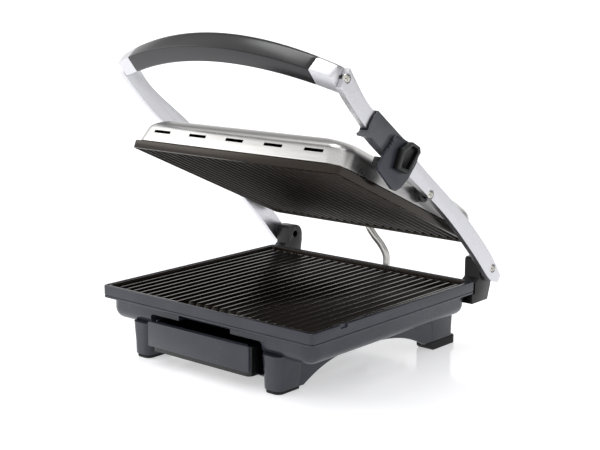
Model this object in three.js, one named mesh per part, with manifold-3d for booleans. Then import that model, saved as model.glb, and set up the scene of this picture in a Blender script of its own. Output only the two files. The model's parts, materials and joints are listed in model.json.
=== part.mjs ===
// Contact grill (panini press) with a hinged handle, a tilting upper plate unit, a drip tray that
// slides out at the front and a height slider on the right arm. Millimetres, +Z up, front towards -Y.
import * as THREE from 'three';
import Module from 'manifold-3d';
import { mergeVertices } from 'three/addons/utils/BufferGeometryUtils.js';

const wasm = await Module();
wasm.setup();

// ---- driving sizes ----
const RIM_W = 320; // housing rim, left to right
const RIM_D = 297.5; // housing rim, front to back
const RIM_TOP = 77; // height of the rim above the table
const RIM_H = 15; // height of the rim band
const RIM_WALL = 3.2;
const TUB_INSET = 6; // how far the tub stands in from the rim
const TUB_BOTTOM = 38;
const TUB_ROUND = 13; // rounding along the tub's bottom edge
const TUB_WALL = 3;
const FIT = 0.3; // clearance between neighbouring pieces
const RUN = 0.08; // radial clearance of a pin that turns
const ROUND_SEGMENTS = 24;

const FLOOR_GAP = 0.8; // under the grill plate, above the seat in the rim

const TUNNEL_HALF = 85; // drip tray tunnel, half width
const TUNNEL_BACK_GAP = 14; // from the tray's back to the tunnel's end
const TUNNEL_TOP = 54;
const SPOUT_HALF = 39.5; // drain spout, half width
const SPOUT_TOP = 59.8;
const TRAY_SHORT = 103; // the tray is this much shorter than the rim is deep
const TRAY_Z0 = 14.5;
const TRAY_Z1 = 47;
const TRAY_WALL = 1.8;
const TRAY_SIDE_GAP = 10; // between the tray and the tunnel's side, where the runner hangs
const TRAY_PROUD = 1.75; // how far the tray's front stands out of the rim
const PANEL_T = 4.2;
const PANEL_Z0 = 20.8;
const PANEL_Z1 = 49;

const LEG_W = 25;
const LEG_D = 40;
const LEG_FRONT_GAP = 3.25; // from the rim's front to the leg's front
const PAD_H = 3; // rubber pad under a front leg
const REAR_FOOT_H = 9.8;
const REAR_FOOT_W = 22;
const REAR_FOOT_D = 53;
const REAR_FOOT_IN = 22; // from the rim's side to the foot
const REAR_FOOT_GAP = 5.75; // from the rim's back to the foot
const SKIRT_T = 4;
const ARCH_H = 30.4; // height of the arch between the feet of one side
const ARCH_REACH = 5.25; // how far the arch runs on above each foot
const HATCH_HALF = 70;
const HATCH_D = 52;
const HATCH_GAP = 14; // from the tunnel's end to the hatch

const RIB_PITCH = 12.1;
const RIB_BASE = 6.4;
const RIB_TIP = 3.6;
const RIB_H = 4.2;
const PLATE_WEB = 4;
const PLATE_WALL = 3;

const UPPER_SIDE_IN = 5.85; // the upper unit is this much narrower than the rim on each side
const UPPER_SHORT = 19.8; // and this much shorter than the rim
const UPPER_H = 9.7;
const UPPER_TILT = 24.25; // degrees, front edge raised
const UPPER_BEHIND = 1.25; // its lower back edge lies this far behind the rim
const UPPER_RISE = 43.3; // and this far above it
const COVER_MID_H = 34; // height of the crease above the plate's underside
const COVER_TOP_H = 42;
const COVER_WALL_IN = 4; // inset of the crease from the cover's foot
const COVER_TOP_IN = 10; // inset of the flat top from the crease
const COVER_CORNER = 19; // corner radius at the foot
const COVER_SHEET = 1.2;
const VENT_PITCH = 56.7;
const VENT_W = 26;
const VENT_H = 3;
const VENT_LEVEL = 22.8;
const VENT_MARGIN = 20; // least distance from a vent to the cover's side

const HINGE_BEHIND = 21.25; // hinge axis, behind the rim and above it
const HINGE_RISE = 13.3;
const HINGE_R = 4.4;
const PIVOT_R = 4.4;
const SPACER_R = 9.8; // round spacer between the upper unit and an arm
const BOLT_HEAD_R = 5.2;
const CORNER_HEAD_R = 4.6;
const ARM_GAP = 3; // between the hinge post and the arm
const ARM_T = 7;
const ARM_TOE_IN = 5.5 / 270; // sideways shift per millimetre towards the front
const ARM_DATUM = 10; // the toe-in counts from here, in front of the hinge axis
// Points on the arm's two long edges as [y, z] from the hinge axis. Curves run through them.
const ARM_UPPER_EDGE = [
  [-267, 251.2], [-243, 219.2], [-220, 198.5], [-176, 165.5], [-139, 134.2], [-91, 96.9],
  [-50, 62.9], [-6.6, 20], [17, -11.3],
];
const ARM_LOWER_EDGE = [
  [12, -19.3], [-6.8, -11.7], [-37.6, 20.5], [-79, 60.7], [-119, 94], [-194, 150.3],
  [-234, 182.3], [-267, 215.7], [-280.5, 232.2],
];
const POST_W = 21;
const POST_BEHIND = 8.75; // from the rim's back to the post's front
const POST_ROUND = 13.5;
const POST_ABOVE = 12.2; // from the hinge axis to the post's top
const POST_BELOW = 27; // from the rim's top to the post's lower end

const CORNER_BLOCK = 24.7; // length of a corner block between grip and arm
const GRIP_BOW = 39.5; // how far the middle of the grip stands out beyond the arms' ends
const GRIP_END_OUT = 6.7; // how far it still stands out at the arms
const GRIP_ANGLE = 51; // degrees, direction the grip bows in
const GRIP_E = 28; // section across the bow direction
const GRIP_D = 23.5; // section along the bow direction
const CORE = 10; // side of the square bar inside the grip
const CORE_REACH = 10; // how far the bar runs into each corner block

const SLEEVE_SIDE = 2.6; // thickness of the guide sleeve beside the arm
const ARM_SLOPE = 35.5; // degrees, slope of the arm where the slider runs

const CONDUIT_R = 4.8;
const GROMMET_WALL = 2.2;
const GROMMET_GRIP = 1.2; // the grommet's bore is this much smaller than the conduit
const INLET = { x: -62, z: 54.5, r: 5.6 };
// The conduit's route as [x, y behind the rim, z].
const HOSE_ROUTE = [
  [9, -4.25, 54.5], [11.5, 7.25, 55.5], [14, 17.25, 63], [14, 20.75, 74], [12, 21.25, 85],
  [6, 19.75, 96], [-2, 16.25, 107], [-9, 14.75, 117.5], [-12.5, 17.25, 127.5],
  [-14, 15.65, 134.4], [-14, 10.15, 137.5],
];
const SHIFT_X = -4.2; // brings the origin to the middle of the bounding box, at table height
const SHIFT_Y = -16;

// ---- sizes that follow ----
const rad = (degrees) => (degrees * Math.PI) / 180;
const BACK = RIM_D / 2;
const FRONT = -RIM_D / 2;
const SEAT = RIM_TOP - RIM_H + 3;
const WALL_OUT = BACK - TUB_INSET; // outer and inner face of the tub's back wall
const WALL_IN = WALL_OUT - TUB_WALL;
const TRAY_HALF = TUNNEL_HALF - TRAY_SIDE_GAP;
const TRAY_FRONT = FRONT - TRAY_PROUD;
const TRAY_D = RIM_D - TRAY_SHORT;
const TRAY_BACK = TRAY_FRONT + TRAY_D;
const TUNNEL_BACK = TRAY_BACK + TUNNEL_BACK_GAP;
const ELEMENT_HALF = RIM_W / 2 - 64;
const LEG_X = TUNNEL_HALF + 2 + LEG_W / 2;
const LEG_Y = FRONT + LEG_FRONT_GAP + LEG_D / 2;
const REAR_X1 = RIM_W / 2 - REAR_FOOT_IN;
const REAR_X0 = REAR_X1 - REAR_FOOT_W;
const REAR_Y1 = BACK - REAR_FOOT_GAP;
const REAR_Y0 = REAR_Y1 - REAR_FOOT_D;
const HATCH_Y0 = TUNNEL_BACK + HATCH_GAP;
const HATCH_Y1 = Math.min(HATCH_Y0 + HATCH_D, WALL_IN - 15);
const UPPER_W = RIM_W - 2 * UPPER_SIDE_IN;
const UPPER_D = RIM_D - UPPER_SHORT;
const UPPER_BACK_Y = BACK + UPPER_BEHIND;
const UPPER_BACK_Z = RIM_TOP + UPPER_RISE;
const HINGE = { y: BACK + HINGE_BEHIND, z: RIM_TOP + HINGE_RISE, r: HINGE_R };
const PIVOT = { y: HINGE.y - 126.9, z: HINGE.z + 105.2, r: PIVOT_R };
const CORNER_SCREW = { y: HINGE.y - 271, z: HINGE.z + 241.1, r: 3.6 };
const GRIP_CORNER = { y: HINGE.y - 262.7, z: HINGE.z + 254.7 };
const ARM_OUTER = RIM_W / 2 + ARM_GAP + ARM_T; // outer face of an arm at the datum
const ARM_DATUM_Y = HINGE.y - ARM_DATUM;
const armFace = (y) => ARM_OUTER - ARM_TOE_IN * (ARM_DATUM_Y - y);
const ARM_INNER_END = armFace(CORNER_SCREW.y) - ARM_T;
const GRIP_SEAM = ARM_INNER_END - CORNER_BLOCK; // half length of the dark grip
const GRIP_BOW_K = (GRIP_BOW - GRIP_END_OUT) / ARM_INNER_END ** 2;
const POST = { x0: RIM_W / 2 - POST_W, x1: RIM_W / 2, y0: BACK + POST_BEHIND };
const SLIDE_START = { y: HINGE.y - 178, z: HINGE.z + 154.7 }; // where the slider's run begins
const HOSE_START = { x: HOSE_ROUTE[0][0], z: HOSE_ROUTE[0][2] };
const GROMMET_R = CONDUIT_R + GROMMET_WALL;
const UPPER_GROMMET_R = GROMMET_R + 0.9;
const HOSE_UP = { x: -14, level: 19.3 }; // where the conduit enters the upper unit

// The hinge of the upper unit, seen from the upper unit: distance from its back, and height.
const LUG = {
  x1: UPPER_W / 2 - 14.15,
  w: 14,
  along: (UPPER_BACK_Y - PIVOT.y) * Math.cos(rad(UPPER_TILT))
    + (PIVOT.z - UPPER_BACK_Z) * Math.sin(rad(UPPER_TILT)),
  level: (PIVOT.z - UPPER_BACK_Z) * Math.cos(rad(UPPER_TILT))
    - (UPPER_BACK_Y - PIVOT.y) * Math.sin(rad(UPPER_TILT)),
};

// ---- materials ----
const finish = {
  housing: { color: 0x55575f, roughness: 0.45, metalness: 0 },
  black: { color: 0x242428, roughness: 0.5, metalness: 0 },
  grip: { color: 0x4b4a50, roughness: 0.38, metalness: 0 },
  rubber: { color: 0x1b1b1c, roughness: 0.85, metalness: 0 },
  plate: { color: 0x2b2824, roughness: 0.42, metalness: 0.3 },
  steel: { color: 0xc9c9cc, roughness: 0.28, metalness: 1 },
  alloy: { color: 0xcfd0d4, roughness: 0.38, metalness: 0.9 },
  screw: { color: 0xb7b3a8, roughness: 0.3, metalness: 1 },
  sheet: { color: 0x9b9da0, roughness: 0.4, metalness: 1 },
  ceramic: { color: 0xe6e2d6, roughness: 0.6, metalness: 0 },
  hose: { color: 0x9c9a95, roughness: 0.35, metalness: 0.7 },
};

// ---- small helpers ----
function piece(name, geometry, kind) {
  const mesh = new THREE.Mesh(geometry, new THREE.MeshStandardMaterial({ ...finish[kind] }));
  mesh.name = name;
  return mesh;
}

function toSolid(geometry) {
  const g = geometry.clone();
  g.deleteAttribute('normal');
  g.deleteAttribute('uv');
  const merged = mergeVertices(g, 1e-4);
  return new wasm.Manifold(new wasm.Mesh({
    numProp: 3,
    vertProperties: new Float32Array(merged.attributes.position.array),
    triVerts: new Uint32Array(merged.index.array),
  }));
}

function toGeometry(solid) {
  const m = solid.getMesh();
  const g = new THREE.BufferGeometry();
  const xyz = [];
  for (let i = 0; i < m.vertProperties.length; i += m.numProp) {
    xyz.push(m.vertProperties[i], m.vertProperties[i + 1], m.vertProperties[i + 2]);
  }
  g.setAttribute('position', new THREE.Float32BufferAttribute(xyz, 3));
  g.setIndex(Array.from(m.triVerts));
  g.computeVertexNormals();
  return g;
}

const join = (...parts) => parts.reduce((a, b) => a.add(b));
const cut = (body, ...tools) => tools.reduce((a, b) => a.subtract(b), body);

function box(x0, x1, y0, y1, z0, z1) {
  const g = new THREE.BoxGeometry(x1 - x0, y1 - y0, z1 - z0);
  g.translate((x0 + x1) / 2, (y0 + y1) / 2, (z0 + z1) / 2);
  return g;
}

const solidBox = (...limits) => toSolid(box(...limits));

function roundedShape(w, d, r) {
  const s = new THREE.Shape();
  const x = w / 2;
  const y = d / 2;
  s.moveTo(-x + r, -y);
  s.lineTo(x - r, -y);
  s.absarc(x - r, -y + r, r, -Math.PI / 2, 0, false);
  s.lineTo(x, y - r);
  s.absarc(x - r, y - r, r, 0, Math.PI / 2, false);
  s.lineTo(-x + r, y);
  s.absarc(-x + r, y - r, r, Math.PI / 2, Math.PI, false);
  s.lineTo(-x, -y + r);
  s.absarc(-x + r, -y + r, r, Math.PI, Math.PI * 1.5, false);
  return s;
}

function slab(w, d, r, z0, z1, cx = 0, cy = 0, segments = 3) {
  const g = new THREE.ExtrudeGeometry(roundedShape(w, d, r), {
    depth: z1 - z0, bevelEnabled: false, curveSegments: segments,
  });
  g.translate(cx, cy, z0);
  return g;
}

// A slab whose outline is w by d at z0 and shrinks by `inset` on every side on its way up to z1.
function taperedSlab(w, d, r, inset, z0, z1) {
  const lip = 0.5;
  const g = new THREE.ExtrudeGeometry(roundedShape(w - 2 * inset, d - 2 * inset, r), {
    depth: 2 * lip, bevelEnabled: true, bevelThickness: z1 - z0 - lip, bevelSize: inset,
    bevelSegments: 1, curveSegments: 4,
  });
  g.translate(0, 0, z0 - lip);
  const tall = z1 - z0;
  return toSolid(g).intersect(solidBox(-w, w, -d, d, z0, z1 + tall));
}

// A profile given as [y, z] points, extruded from x0 to x1.
function sideProfile(points, x0, x1) {
  const s = new THREE.Shape(points.map(([y, z]) => new THREE.Vector2(y, z)));
  const g = new THREE.ExtrudeGeometry(s, { depth: x1 - x0, bevelEnabled: false });
  g.applyMatrix4(new THREE.Matrix4().set(0, 0, 1, x0, 1, 0, 0, 0, 0, 1, 0, 0, 0, 0, 0, 1));
  return g;
}

// A profile given as [x, z] points, extruded from y0 to y1.
function frontProfile(points, y0, y1) {
  const s = new THREE.Shape(points.map(([x, z]) => new THREE.Vector2(x, z)));
  const g = new THREE.ExtrudeGeometry(s, { depth: y1 - y0, bevelEnabled: false });
  g.applyMatrix4(new THREE.Matrix4().set(1, 0, 0, 0, 0, 0, -1, y1, 0, 1, 0, 0, 0, 0, 0, 1));
  return g;
}

// A cylinder along X.
function xRod(r, x0, x1, y, z, segments = ROUND_SEGMENTS) {
  const g = new THREE.CylinderGeometry(r, r, x1 - x0, segments);
  g.rotateZ(Math.PI / 2);
  g.translate((x0 + x1) / 2, y, z);
  return g;
}

// A cylinder along Y.
function yRod(r, y0, y1, x, z, segments = ROUND_SEGMENTS) {
  const g = new THREE.CylinderGeometry(r, r, y1 - y0, segments);
  g.translate(x, (y0 + y1) / 2, z);
  return g;
}

// A cylinder along Z.
function zRod(r, z0, z1, x, y, segments = ROUND_SEGMENTS) {
  const g = new THREE.CylinderGeometry(r, r, z1 - z0, segments);
  g.rotateX(Math.PI / 2);
  g.translate(x, y, (z0 + z1) / 2);
  return g;
}

function tube(points, r, steps, radial = 8) {
  const curve = new THREE.CatmullRomCurve3(points.map((p) => new THREE.Vector3(...p)), false,
    'centripetal');
  const ring = new THREE.Shape();
  ring.absarc(0, 0, r, 0, Math.PI * 2, false);
  return new THREE.ExtrudeGeometry(ring, {
    steps, bevelEnabled: false, extrudePath: curve, curveSegments: radial,
  });
}

// Mirrors a geometry to the other side and keeps its faces pointing outward.
function mirrored(geometry) {
  const g = geometry.clone();
  g.applyMatrix4(new THREE.Matrix4().makeScale(-1, 1, 1));
  if (!g.index) return toGeometry(toSolid(geometry).mirror([1, 0, 0]));
  const order = g.index.array;
  for (let i = 0; i < order.length; i += 3) {
    [order[i], order[i + 1]] = [order[i + 1], order[i]];
  }
  g.computeVertexNormals();
  return g;
}

function pair(name, geometry, kind) {
  return [piece(`right_${name}`, geometry, kind), piece(`left_${name}`, mirrored(geometry), kind)];
}

// ---- base: housing ----
const tubW = RIM_W - 2 * TUB_INSET;
const tubD = RIM_D - 2 * TUB_INSET;

function tubSolid(w, d, z0, round) {
  const g = new THREE.ExtrudeGeometry(roundedShape(w - 2 * round, d - 2 * round, 3), {
    depth: 12, bevelEnabled: true, bevelThickness: round, bevelSize: round, bevelSegments: 4,
    curveSegments: 3,
  });
  g.translate(0, 0, z0 + round);
  return toSolid(g).intersect(solidBox(-w, w, -d, d, z0 - 1, z0 + round + 12));
}

// The skirt runs from the front leg's outer face to the rear foot's, bulging a little outwards.
function skirtSolid() {
  const x0 = LEG_X + LEG_W / 2;
  const y0 = LEG_Y + LEG_D / 3;
  const y1 = REAR_Y1 - REAR_FOOT_D / 2;
  const outer = [];
  for (let i = 0; i <= 6; i += 1) {
    const share = i / 6;
    outer.push([x0 + (REAR_X1 - x0) * (1 - (1 - share) ** 1.4), y0 + (y1 - y0) * share]);
  }
  const inner = outer.map(([x, y]) => [x - SKIRT_T, y]).reverse();
  const s = new THREE.Shape([...outer, ...inner].map(([x, y]) => new THREE.Vector2(x, y)));
  const g = new THREE.ExtrudeGeometry(s, { depth: TUB_BOTTOM + 2, bevelEnabled: false });
  return toSolid(g);
}

function archSolid() {
  const legBack = LEG_Y + LEG_D / 2;
  const middle = (legBack + REAR_Y0) / 2;
  const half = (REAR_Y0 - legBack) / 2 + ARCH_REACH;
  const under = [];
  for (let i = -6; i <= 6; i += 1) {
    const share = Math.sin((i / 6) * (Math.PI / 2));
    under.push([middle + share * half, ARCH_H * (1 - Math.abs(share) ** 2.6)]);
  }
  under.push([middle + half, -20], [middle - half, -20]);
  return toSolid(sideProfile(under, -RIM_W, RIM_W));
}

function baseHousing() {
  const pocketW = RIM_W - 2 * RIM_WALL;
  const pocketD = RIM_D - 2 * RIM_WALL;
  const rim = toSolid(slab(RIM_W, RIM_D, 5, RIM_TOP - RIM_H, RIM_TOP));
  const tub = tubSolid(tubW, tubD, TUB_BOTTOM, TUB_ROUND);
  const cavity = tubSolid(tubW - 2 * TUB_WALL, tubD - 2 * TUB_WALL, TUB_BOTTOM + TUB_WALL, 11);
  const pocket = toSolid(slab(pocketW, pocketD, 2.5, SEAT, RIM_TOP + 5));
  const throat = toSolid(slab(tubW - 2 * TUB_WALL, tubD - 2 * TUB_WALL, 3, TUB_BOTTOM + TUB_WALL
    + TUB_ROUND, SEAT + 1));
  const frontY = -RIM_D / 2 + TUB_INSET;
  const shroud = solidBox(-TUNNEL_HALF - 3, TUNNEL_HALF + 3, frontY + 1, TUNNEL_BACK + 3,
    TUB_BOTTOM + 0.5, TUNNEL_TOP + 2.5);
  const tunnel = solidBox(-TUNNEL_HALF, TUNNEL_HALF, -RIM_D, TUNNEL_BACK, 20, TUNNEL_TOP);
  const spout = solidBox(-SPOUT_HALF, SPOUT_HALF, -RIM_D, frontY + 12, 40, SPOUT_TOP);
  const hatch = solidBox(-HATCH_HALF, HATCH_HALF, HATCH_Y0, HATCH_Y1, 30, 60);
  const legs = [-1, 1].map((s) => toSolid(slab(LEG_W, LEG_D, 8, PAD_H + FIT, TUB_BOTTOM + 2,
    s * LEG_X, LEG_Y)));
  const skirt = skirtSolid();
  const rear = slab(REAR_FOOT_W, REAR_FOOT_D - 6, 6, REAR_FOOT_H + FIT, TUB_BOTTOM + 2,
    (REAR_X0 + REAR_X1) / 2, (REAR_Y0 + REAR_Y1) / 2 - 3);
  const rearLegs = [rear, mirrored(rear)].map(toSolid);
  const skirts = join(skirt, skirt.mirror([1, 0, 0]));
  const lift = solidBox(-RIM_W, RIM_W, -RIM_D, RIM_D, -1, REAR_FOOT_H + FIT)
    .intersect(solidBox(-RIM_W, RIM_W, REAR_Y0 - 30, RIM_D, -1, 40));
  const trimmed = cut(skirts, archSolid(), lift,
    solidBox(-RIM_W, RIM_W, -RIM_D, REAR_Y0 - 30, -1, PAD_H + FIT));
  let body = cut(join(rim, tub), pocket, throat, cavity);
  body = join(body, shroud, trimmed, ...legs, ...rearLegs);
  body = cut(body, tunnel, spout, hatch);
  const inletHole = toSolid(yRod(INLET.r + FIT, WALL_IN - 10, BACK + 10, INLET.x, INLET.z));
  const hoseHole = toSolid(yRod(GROMMET_R + RUN, WALL_IN - 10, BACK + 10, HOSE_START.x,
    HOSE_START.z));
  const flangeRoom = toSolid(yRod(GROMMET_R + 0.6 + FIT, WALL_IN - 10, WALL_IN - 1.5,
    HOSE_START.x, HOSE_START.z));
  const latchNotch = solidBox(RIM_W / 2 - 2, RIM_W / 2 + 5, -103, -92, RIM_TOP - 4, RIM_TOP + 5);
  body = cut(body, inletHole, hoseHole, flangeRoom, latchNotch);
  return piece('base_housing', toGeometry(body), 'housing');
}

function serviceCover() {
  const sheet = toSolid(slab(2 * HATCH_HALF + 12, HATCH_Y1 - HATCH_Y0 + 12, 4,
    TUB_BOTTOM - 2 - FIT, TUB_BOTTOM - FIT, 0, (HATCH_Y0 + HATCH_Y1) / 2));
  const holes = COVER_SCREWS.map(([x, y]) => toSolid(zRod(1.9, 30, 45, x, y, 12)));
  return piece('service_cover', toGeometry(cut(sheet, ...holes)), 'sheet');
}

const COVER_SCREWS = [HATCH_Y0 - 3, HATCH_Y1 + 3].flatMap((y) => (
  [[-HATCH_HALF - 3, y], [HATCH_HALF + 3, y]]));

function coverScrews() {
  const top = TUB_BOTTOM - 2 - 2 * FIT;
  return COVER_SCREWS.map(([x, y], i) => {
    const head = toSolid(zRod(3.2, top - 2, top, x, y, 16));
    const shank = toSolid(zRod(1.6, top - 1, TUB_BOTTOM - FIT, x, y, 12));
    return piece(`cover_screw_${i + 1}`, toGeometry(join(head, shank)), 'screw');
  });
}

function frontPads() {
  const pad = slab(LEG_W - 3, LEG_D - 3, 7, 0, PAD_H, LEG_X, LEG_Y);
  return pair('front_foot_pad', pad, 'rubber');
}

function rearFeet() {
  const foot = toSolid(slab(REAR_FOOT_W, REAR_FOOT_D, 6, 0, REAR_FOOT_H, (REAR_X0 + REAR_X1) / 2,
    (REAR_Y0 + REAR_Y1) / 2));
  const toe = toSolid(sideProfile([[REAR_Y0 - 1, -1], [REAR_Y0 + 9, -1], [REAR_Y0 - 1, 6]],
    REAR_X0 - 5, REAR_X1 + 5));
  return pair('rear_foot', toGeometry(cut(foot, toe)), 'rubber');
}

// ---- base: lower grill plate and what is under it ----
function ribBars(width, length, yMid, z0, up) {
  const count = Math.floor((width - RIB_BASE) / RIB_PITCH) + 1;
  const bars = [];
  for (let i = 0; i < count; i += 1) {
    const x = (i - (count - 1) / 2) * RIB_PITCH;
    const b = RIB_BASE / 2;
    const t = RIB_TIP / 2;
    const tip = z0 + up * RIB_H;
    const root = z0 - up * 0.4;
    const points = [[x - b, root], [x + b, root], [x + b, z0], [x + t, tip], [x - t, tip],
      [x - b, z0]];
    if (up < 0) points.reverse();
    bars.push(toSolid(frontProfile(points, yMid - length / 2, yMid + length / 2)));
  }
  return bars;
}

function lowerPlate() {
  const w = RIM_W - 2 * (RIM_WALL + FIT);
  const d = RIM_D - 2 * (RIM_WALL + FIT);
  const under = SEAT + FLOOR_GAP;
  const web = under + PLATE_WEB;
  const slabSolid = toSolid(slab(w, d, 2.2, under, RIM_TOP - 0.6));
  const inside = w - 2 * PLATE_WALL;
  const tray = toSolid(slab(inside, d - 2 * PLATE_WALL, 1.5, web, RIM_TOP + 1));
  let body = cut(slabSolid, tray);
  body = join(body, ...ribBars(inside, d - 3 * PLATE_WALL, 0, web, 1));
  const frontY = -d / 2;
  const ramp = solidBox(-SPOUT_HALF, SPOUT_HALF, frontY - 1, frontY + 13, web + 0.01, RIM_TOP + 1);
  const slot = solidBox(-SPOUT_HALF + 2, SPOUT_HALF - 2, frontY + 3.4, frontY + 10, under - 1,
    web + 1);
  body = cut(body, ramp, slot);
  const lip = solidBox(-SPOUT_HALF - 1, SPOUT_HALF + 1, frontY, frontY + 2.4, web - 1, web + 2.6);
  return piece('lower_grill_plate', toGeometry(join(body, lip)), 'plate');
}

// One half of the element's route, mirrored for the other half: down one side, back up, across.
function elementPath(half, z, back, front) {
  const outer = half - 12;
  const inner = half - 36;
  const turn = half - 48;
  const side = [[half, back], [half, front + 20], [outer, front], [inner, front],
    [turn, front + 20], [turn, back - 40], [turn - 12, back - 22]];
  const left = side.map(([x, y]) => [-x, y, z]);
  const right = side.reverse().map(([x, y]) => [x, y, z]);
  return [...left, ...right];
}

function lowerElement() {
  const path = elementPath(ELEMENT_HALF, SEAT - 3, WALL_IN - 17.75, FRONT + 43.75);
  return piece('lower_heating_element', tube(path, 3.2, 84, 5), 'sheet');
}

function thermostats() {
  const y = WALL_IN - 55.75;
  const top = SEAT + FLOOR_GAP - 0.4;
  const lower = join(toSolid(zRod(11, top - 7.9, top, -12, y)),
    toSolid(zRod(5, top - 13.4, top - 7.4, -12, y, 12)));
  return [
    piece('lower_thermostat', toGeometry(lower), 'ceramic'),
    piece('lower_thermal_fuse', xRod(2.6, ELEMENT_HALF - 84, ELEMENT_HALF - 54, y,
      top - 3, 12), 'screw'),
    piece('terminal_block', box(INLET.x - 20, INLET.x + 20, WALL_IN - 35.75, WALL_IN - 19.75,
      TUB_BOTTOM + TUB_WALL + 0.6, 52), 'ceramic'),
  ];
}

function inletGland() {
  const { x, z, r } = INLET;
  const flange = toSolid(yRod(r + 1.6, WALL_OUT + FIT, WALL_OUT + FIT + 3.3, x, z));
  const body = toSolid(yRod(r, WALL_OUT - 10.75, WALL_OUT + 2.25, x, z));
  const nut = toSolid(yRod(r + 1.8, WALL_IN - 5.15, WALL_IN - 1.45, x, z, 6));
  const bore = toSolid(yRod(r - 2.4, WALL_IN - 20, WALL_OUT + 20, x, z, 16));
  return piece('mains_inlet_gland', toGeometry(cut(join(flange, body, nut), bore)), 'black');
}

// ---- base: hinge posts ----
// Points on an arc around [y, z], angles in degrees.
function arcPoints(y, z, r, from, to, steps) {
  const points = [];
  for (let i = 0; i <= steps; i += 1) {
    const a = rad(from + ((to - from) * i) / steps);
    points.push([y + r * Math.cos(a), z + r * Math.sin(a)]);
  }
  return points;
}

function hingePost() {
  const y0 = BACK + FIT;
  const foot = WALL_OUT + FIT;
  const under = RIM_TOP - RIM_H - FIT;
  const low = RIM_TOP - POST_BELOW;
  const top = HINGE.z + POST_ABOVE;
  const back = HINGE.y + 14;
  const outline = [
    [foot, low], [back - 8, low], [back - 2.5, low + 16], [back, low + 30],
    ...arcPoints(back - POST_ROUND, top - POST_ROUND, POST_ROUND, 0, 90, 6),
    ...arcPoints(POST.y0 + 4, top - 4, 4, 90, 180, 4),
    [POST.y0, RIM_TOP + 2], [y0, RIM_TOP - 3], [y0, under], [foot, under],
  ];
  const body = toSolid(sideProfile(outline, POST.x0, POST.x1));
  const bore = toSolid(xRod(HINGE.r + RUN, POST.x0 - 5, POST.x1 + 5, HINGE.y, HINGE.z));
  const screw = toSolid(yRod(1.7, WALL_IN, BACK + 9, POST.x1 - 9.5, low + 6, 12));
  return pair('hinge_post', toGeometry(cut(body, bore, screw)), 'black');
}

function boltSolid(r, headR, x0, face, y, z) {
  const shaft = toSolid(xRod(r, x0, face + 0.5, y, z));
  const head = toSolid(xRod(headR, face + 0.2, face + 2.2, y, z));
  const drive = toSolid(xRod(1.9, face + 1, face + 3, y, z, 6));
  return toGeometry(cut(join(shaft, head), drive));
}

function hingeBolts() {
  const bolt = boltSolid(HINGE.r, BOLT_HEAD_R, POST.x0 - 3, armFace(HINGE.y), HINGE.y, HINGE.z);
  return pair('hinge_bolt', bolt, 'screw');
}

// ---- base: wire conduit, lower half ----
const HOSE_STEPS = 90;

// One stretch of the conduit's route, from step `from` to step `to`.
function hoseStretch(from, to) {
  const route = new THREE.CatmullRomCurve3(HOSE_ROUTE.map(([x, y, z]) => (
    new THREE.Vector3(x, BACK + y, z))), false, 'centripetal');
  const points = route.getSpacedPoints(HOSE_STEPS).slice(from, to + 1);
  const every = points.filter((p, i) => i % 3 === 0 || i === points.length - 1);
  return tube(every.map((p) => p.toArray()), CONDUIT_R, every.length, 7);
}

const HOSE_SPLIT = 48;

function conduitLower() {
  return piece('conduit_lower', hoseStretch(0, HOSE_SPLIT), 'hose');
}

function conduitUpper() {
  return piece('conduit_upper', hoseStretch(HOSE_SPLIT + 1, HOSE_STEPS), 'hose');
}

function conduitGrommet() {
  const { x, z } = HOSE_START;
  const ring = toSolid(yRod(GROMMET_R, WALL_OUT - 6, WALL_OUT + 0.4, x, z));
  const flange = toSolid(yRod(GROMMET_R + 0.6, WALL_OUT - 6, WALL_IN - 1.8, x, z));
  const bore = toSolid(yRod(CONDUIT_R - GROMMET_GRIP, WALL_IN - 20, WALL_OUT + 20, x, z));
  return piece('conduit_grommet_lower', toGeometry(cut(join(ring, flange), bore)), 'rubber');
}

// ---- drip tray ----
function dripTray() {
  const mid = (TRAY_FRONT + TRAY_BACK) / 2;
  const outer = toSolid(slab(2 * TRAY_HALF, TRAY_D, 6, TRAY_Z0, TRAY_Z1, 0, mid));
  const inner = toSolid(slab(2 * (TRAY_HALF - TRAY_WALL), TRAY_D - 2 * TRAY_WALL, 4.5,
    TRAY_Z0 + TRAY_WALL, TRAY_Z1 + 5, 0, mid));
  return piece('drip_tray', toGeometry(cut(outer, inner)), 'black');
}

function trayFront() {
  const y0 = TRAY_FRONT - FIT;
  const half = TRAY_HALF + 2;
  const panel = toSolid(box(-half, half, y0 - PANEL_T, y0, PANEL_Z0, PANEL_Z1));
  const grip = TRAY_HALF - 5;
  const hook = solidBox(-grip, grip, y0 - 1, TRAY_FRONT + 4, TRAY_Z1 + FIT, PANEL_Z1);
  const pull = solidBox(-grip, grip, TRAY_FRONT + TRAY_WALL + FIT, TRAY_FRONT + 4, 38, PANEL_Z1);
  return piece('drip_tray_front', toGeometry(join(panel, hook, pull)), 'housing');
}

function trayRunners() {
  const y0 = TRAY_FRONT + 14.5;
  const y1 = TRAY_BACK - 2;
  const x1 = TUNNEL_HALF - 1.4;
  const low = TRAY_Z0 - 1.8;
  const ledge = solidBox(TRAY_HALF - 4, x1, y0, y1, low, TRAY_Z0 - FIT);
  const web = solidBox(x1 - 1.6, x1, y0, y1, low, TUB_BOTTOM + 8);
  return pair('tray_runner', toGeometry(join(ledge, web)), 'sheet');
}

// ---- handle: arms ----
function toeIn(geometry) {
  const shear = new THREE.Matrix4().set(
    1, ARM_TOE_IN, 0, -ARM_TOE_IN * ARM_DATUM_Y,
    0, 1, 0, 0,
    0, 0, 1, 0,
    0, 0, 0, 1,
  );
  return geometry.clone().applyMatrix4(shear);
}

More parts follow.
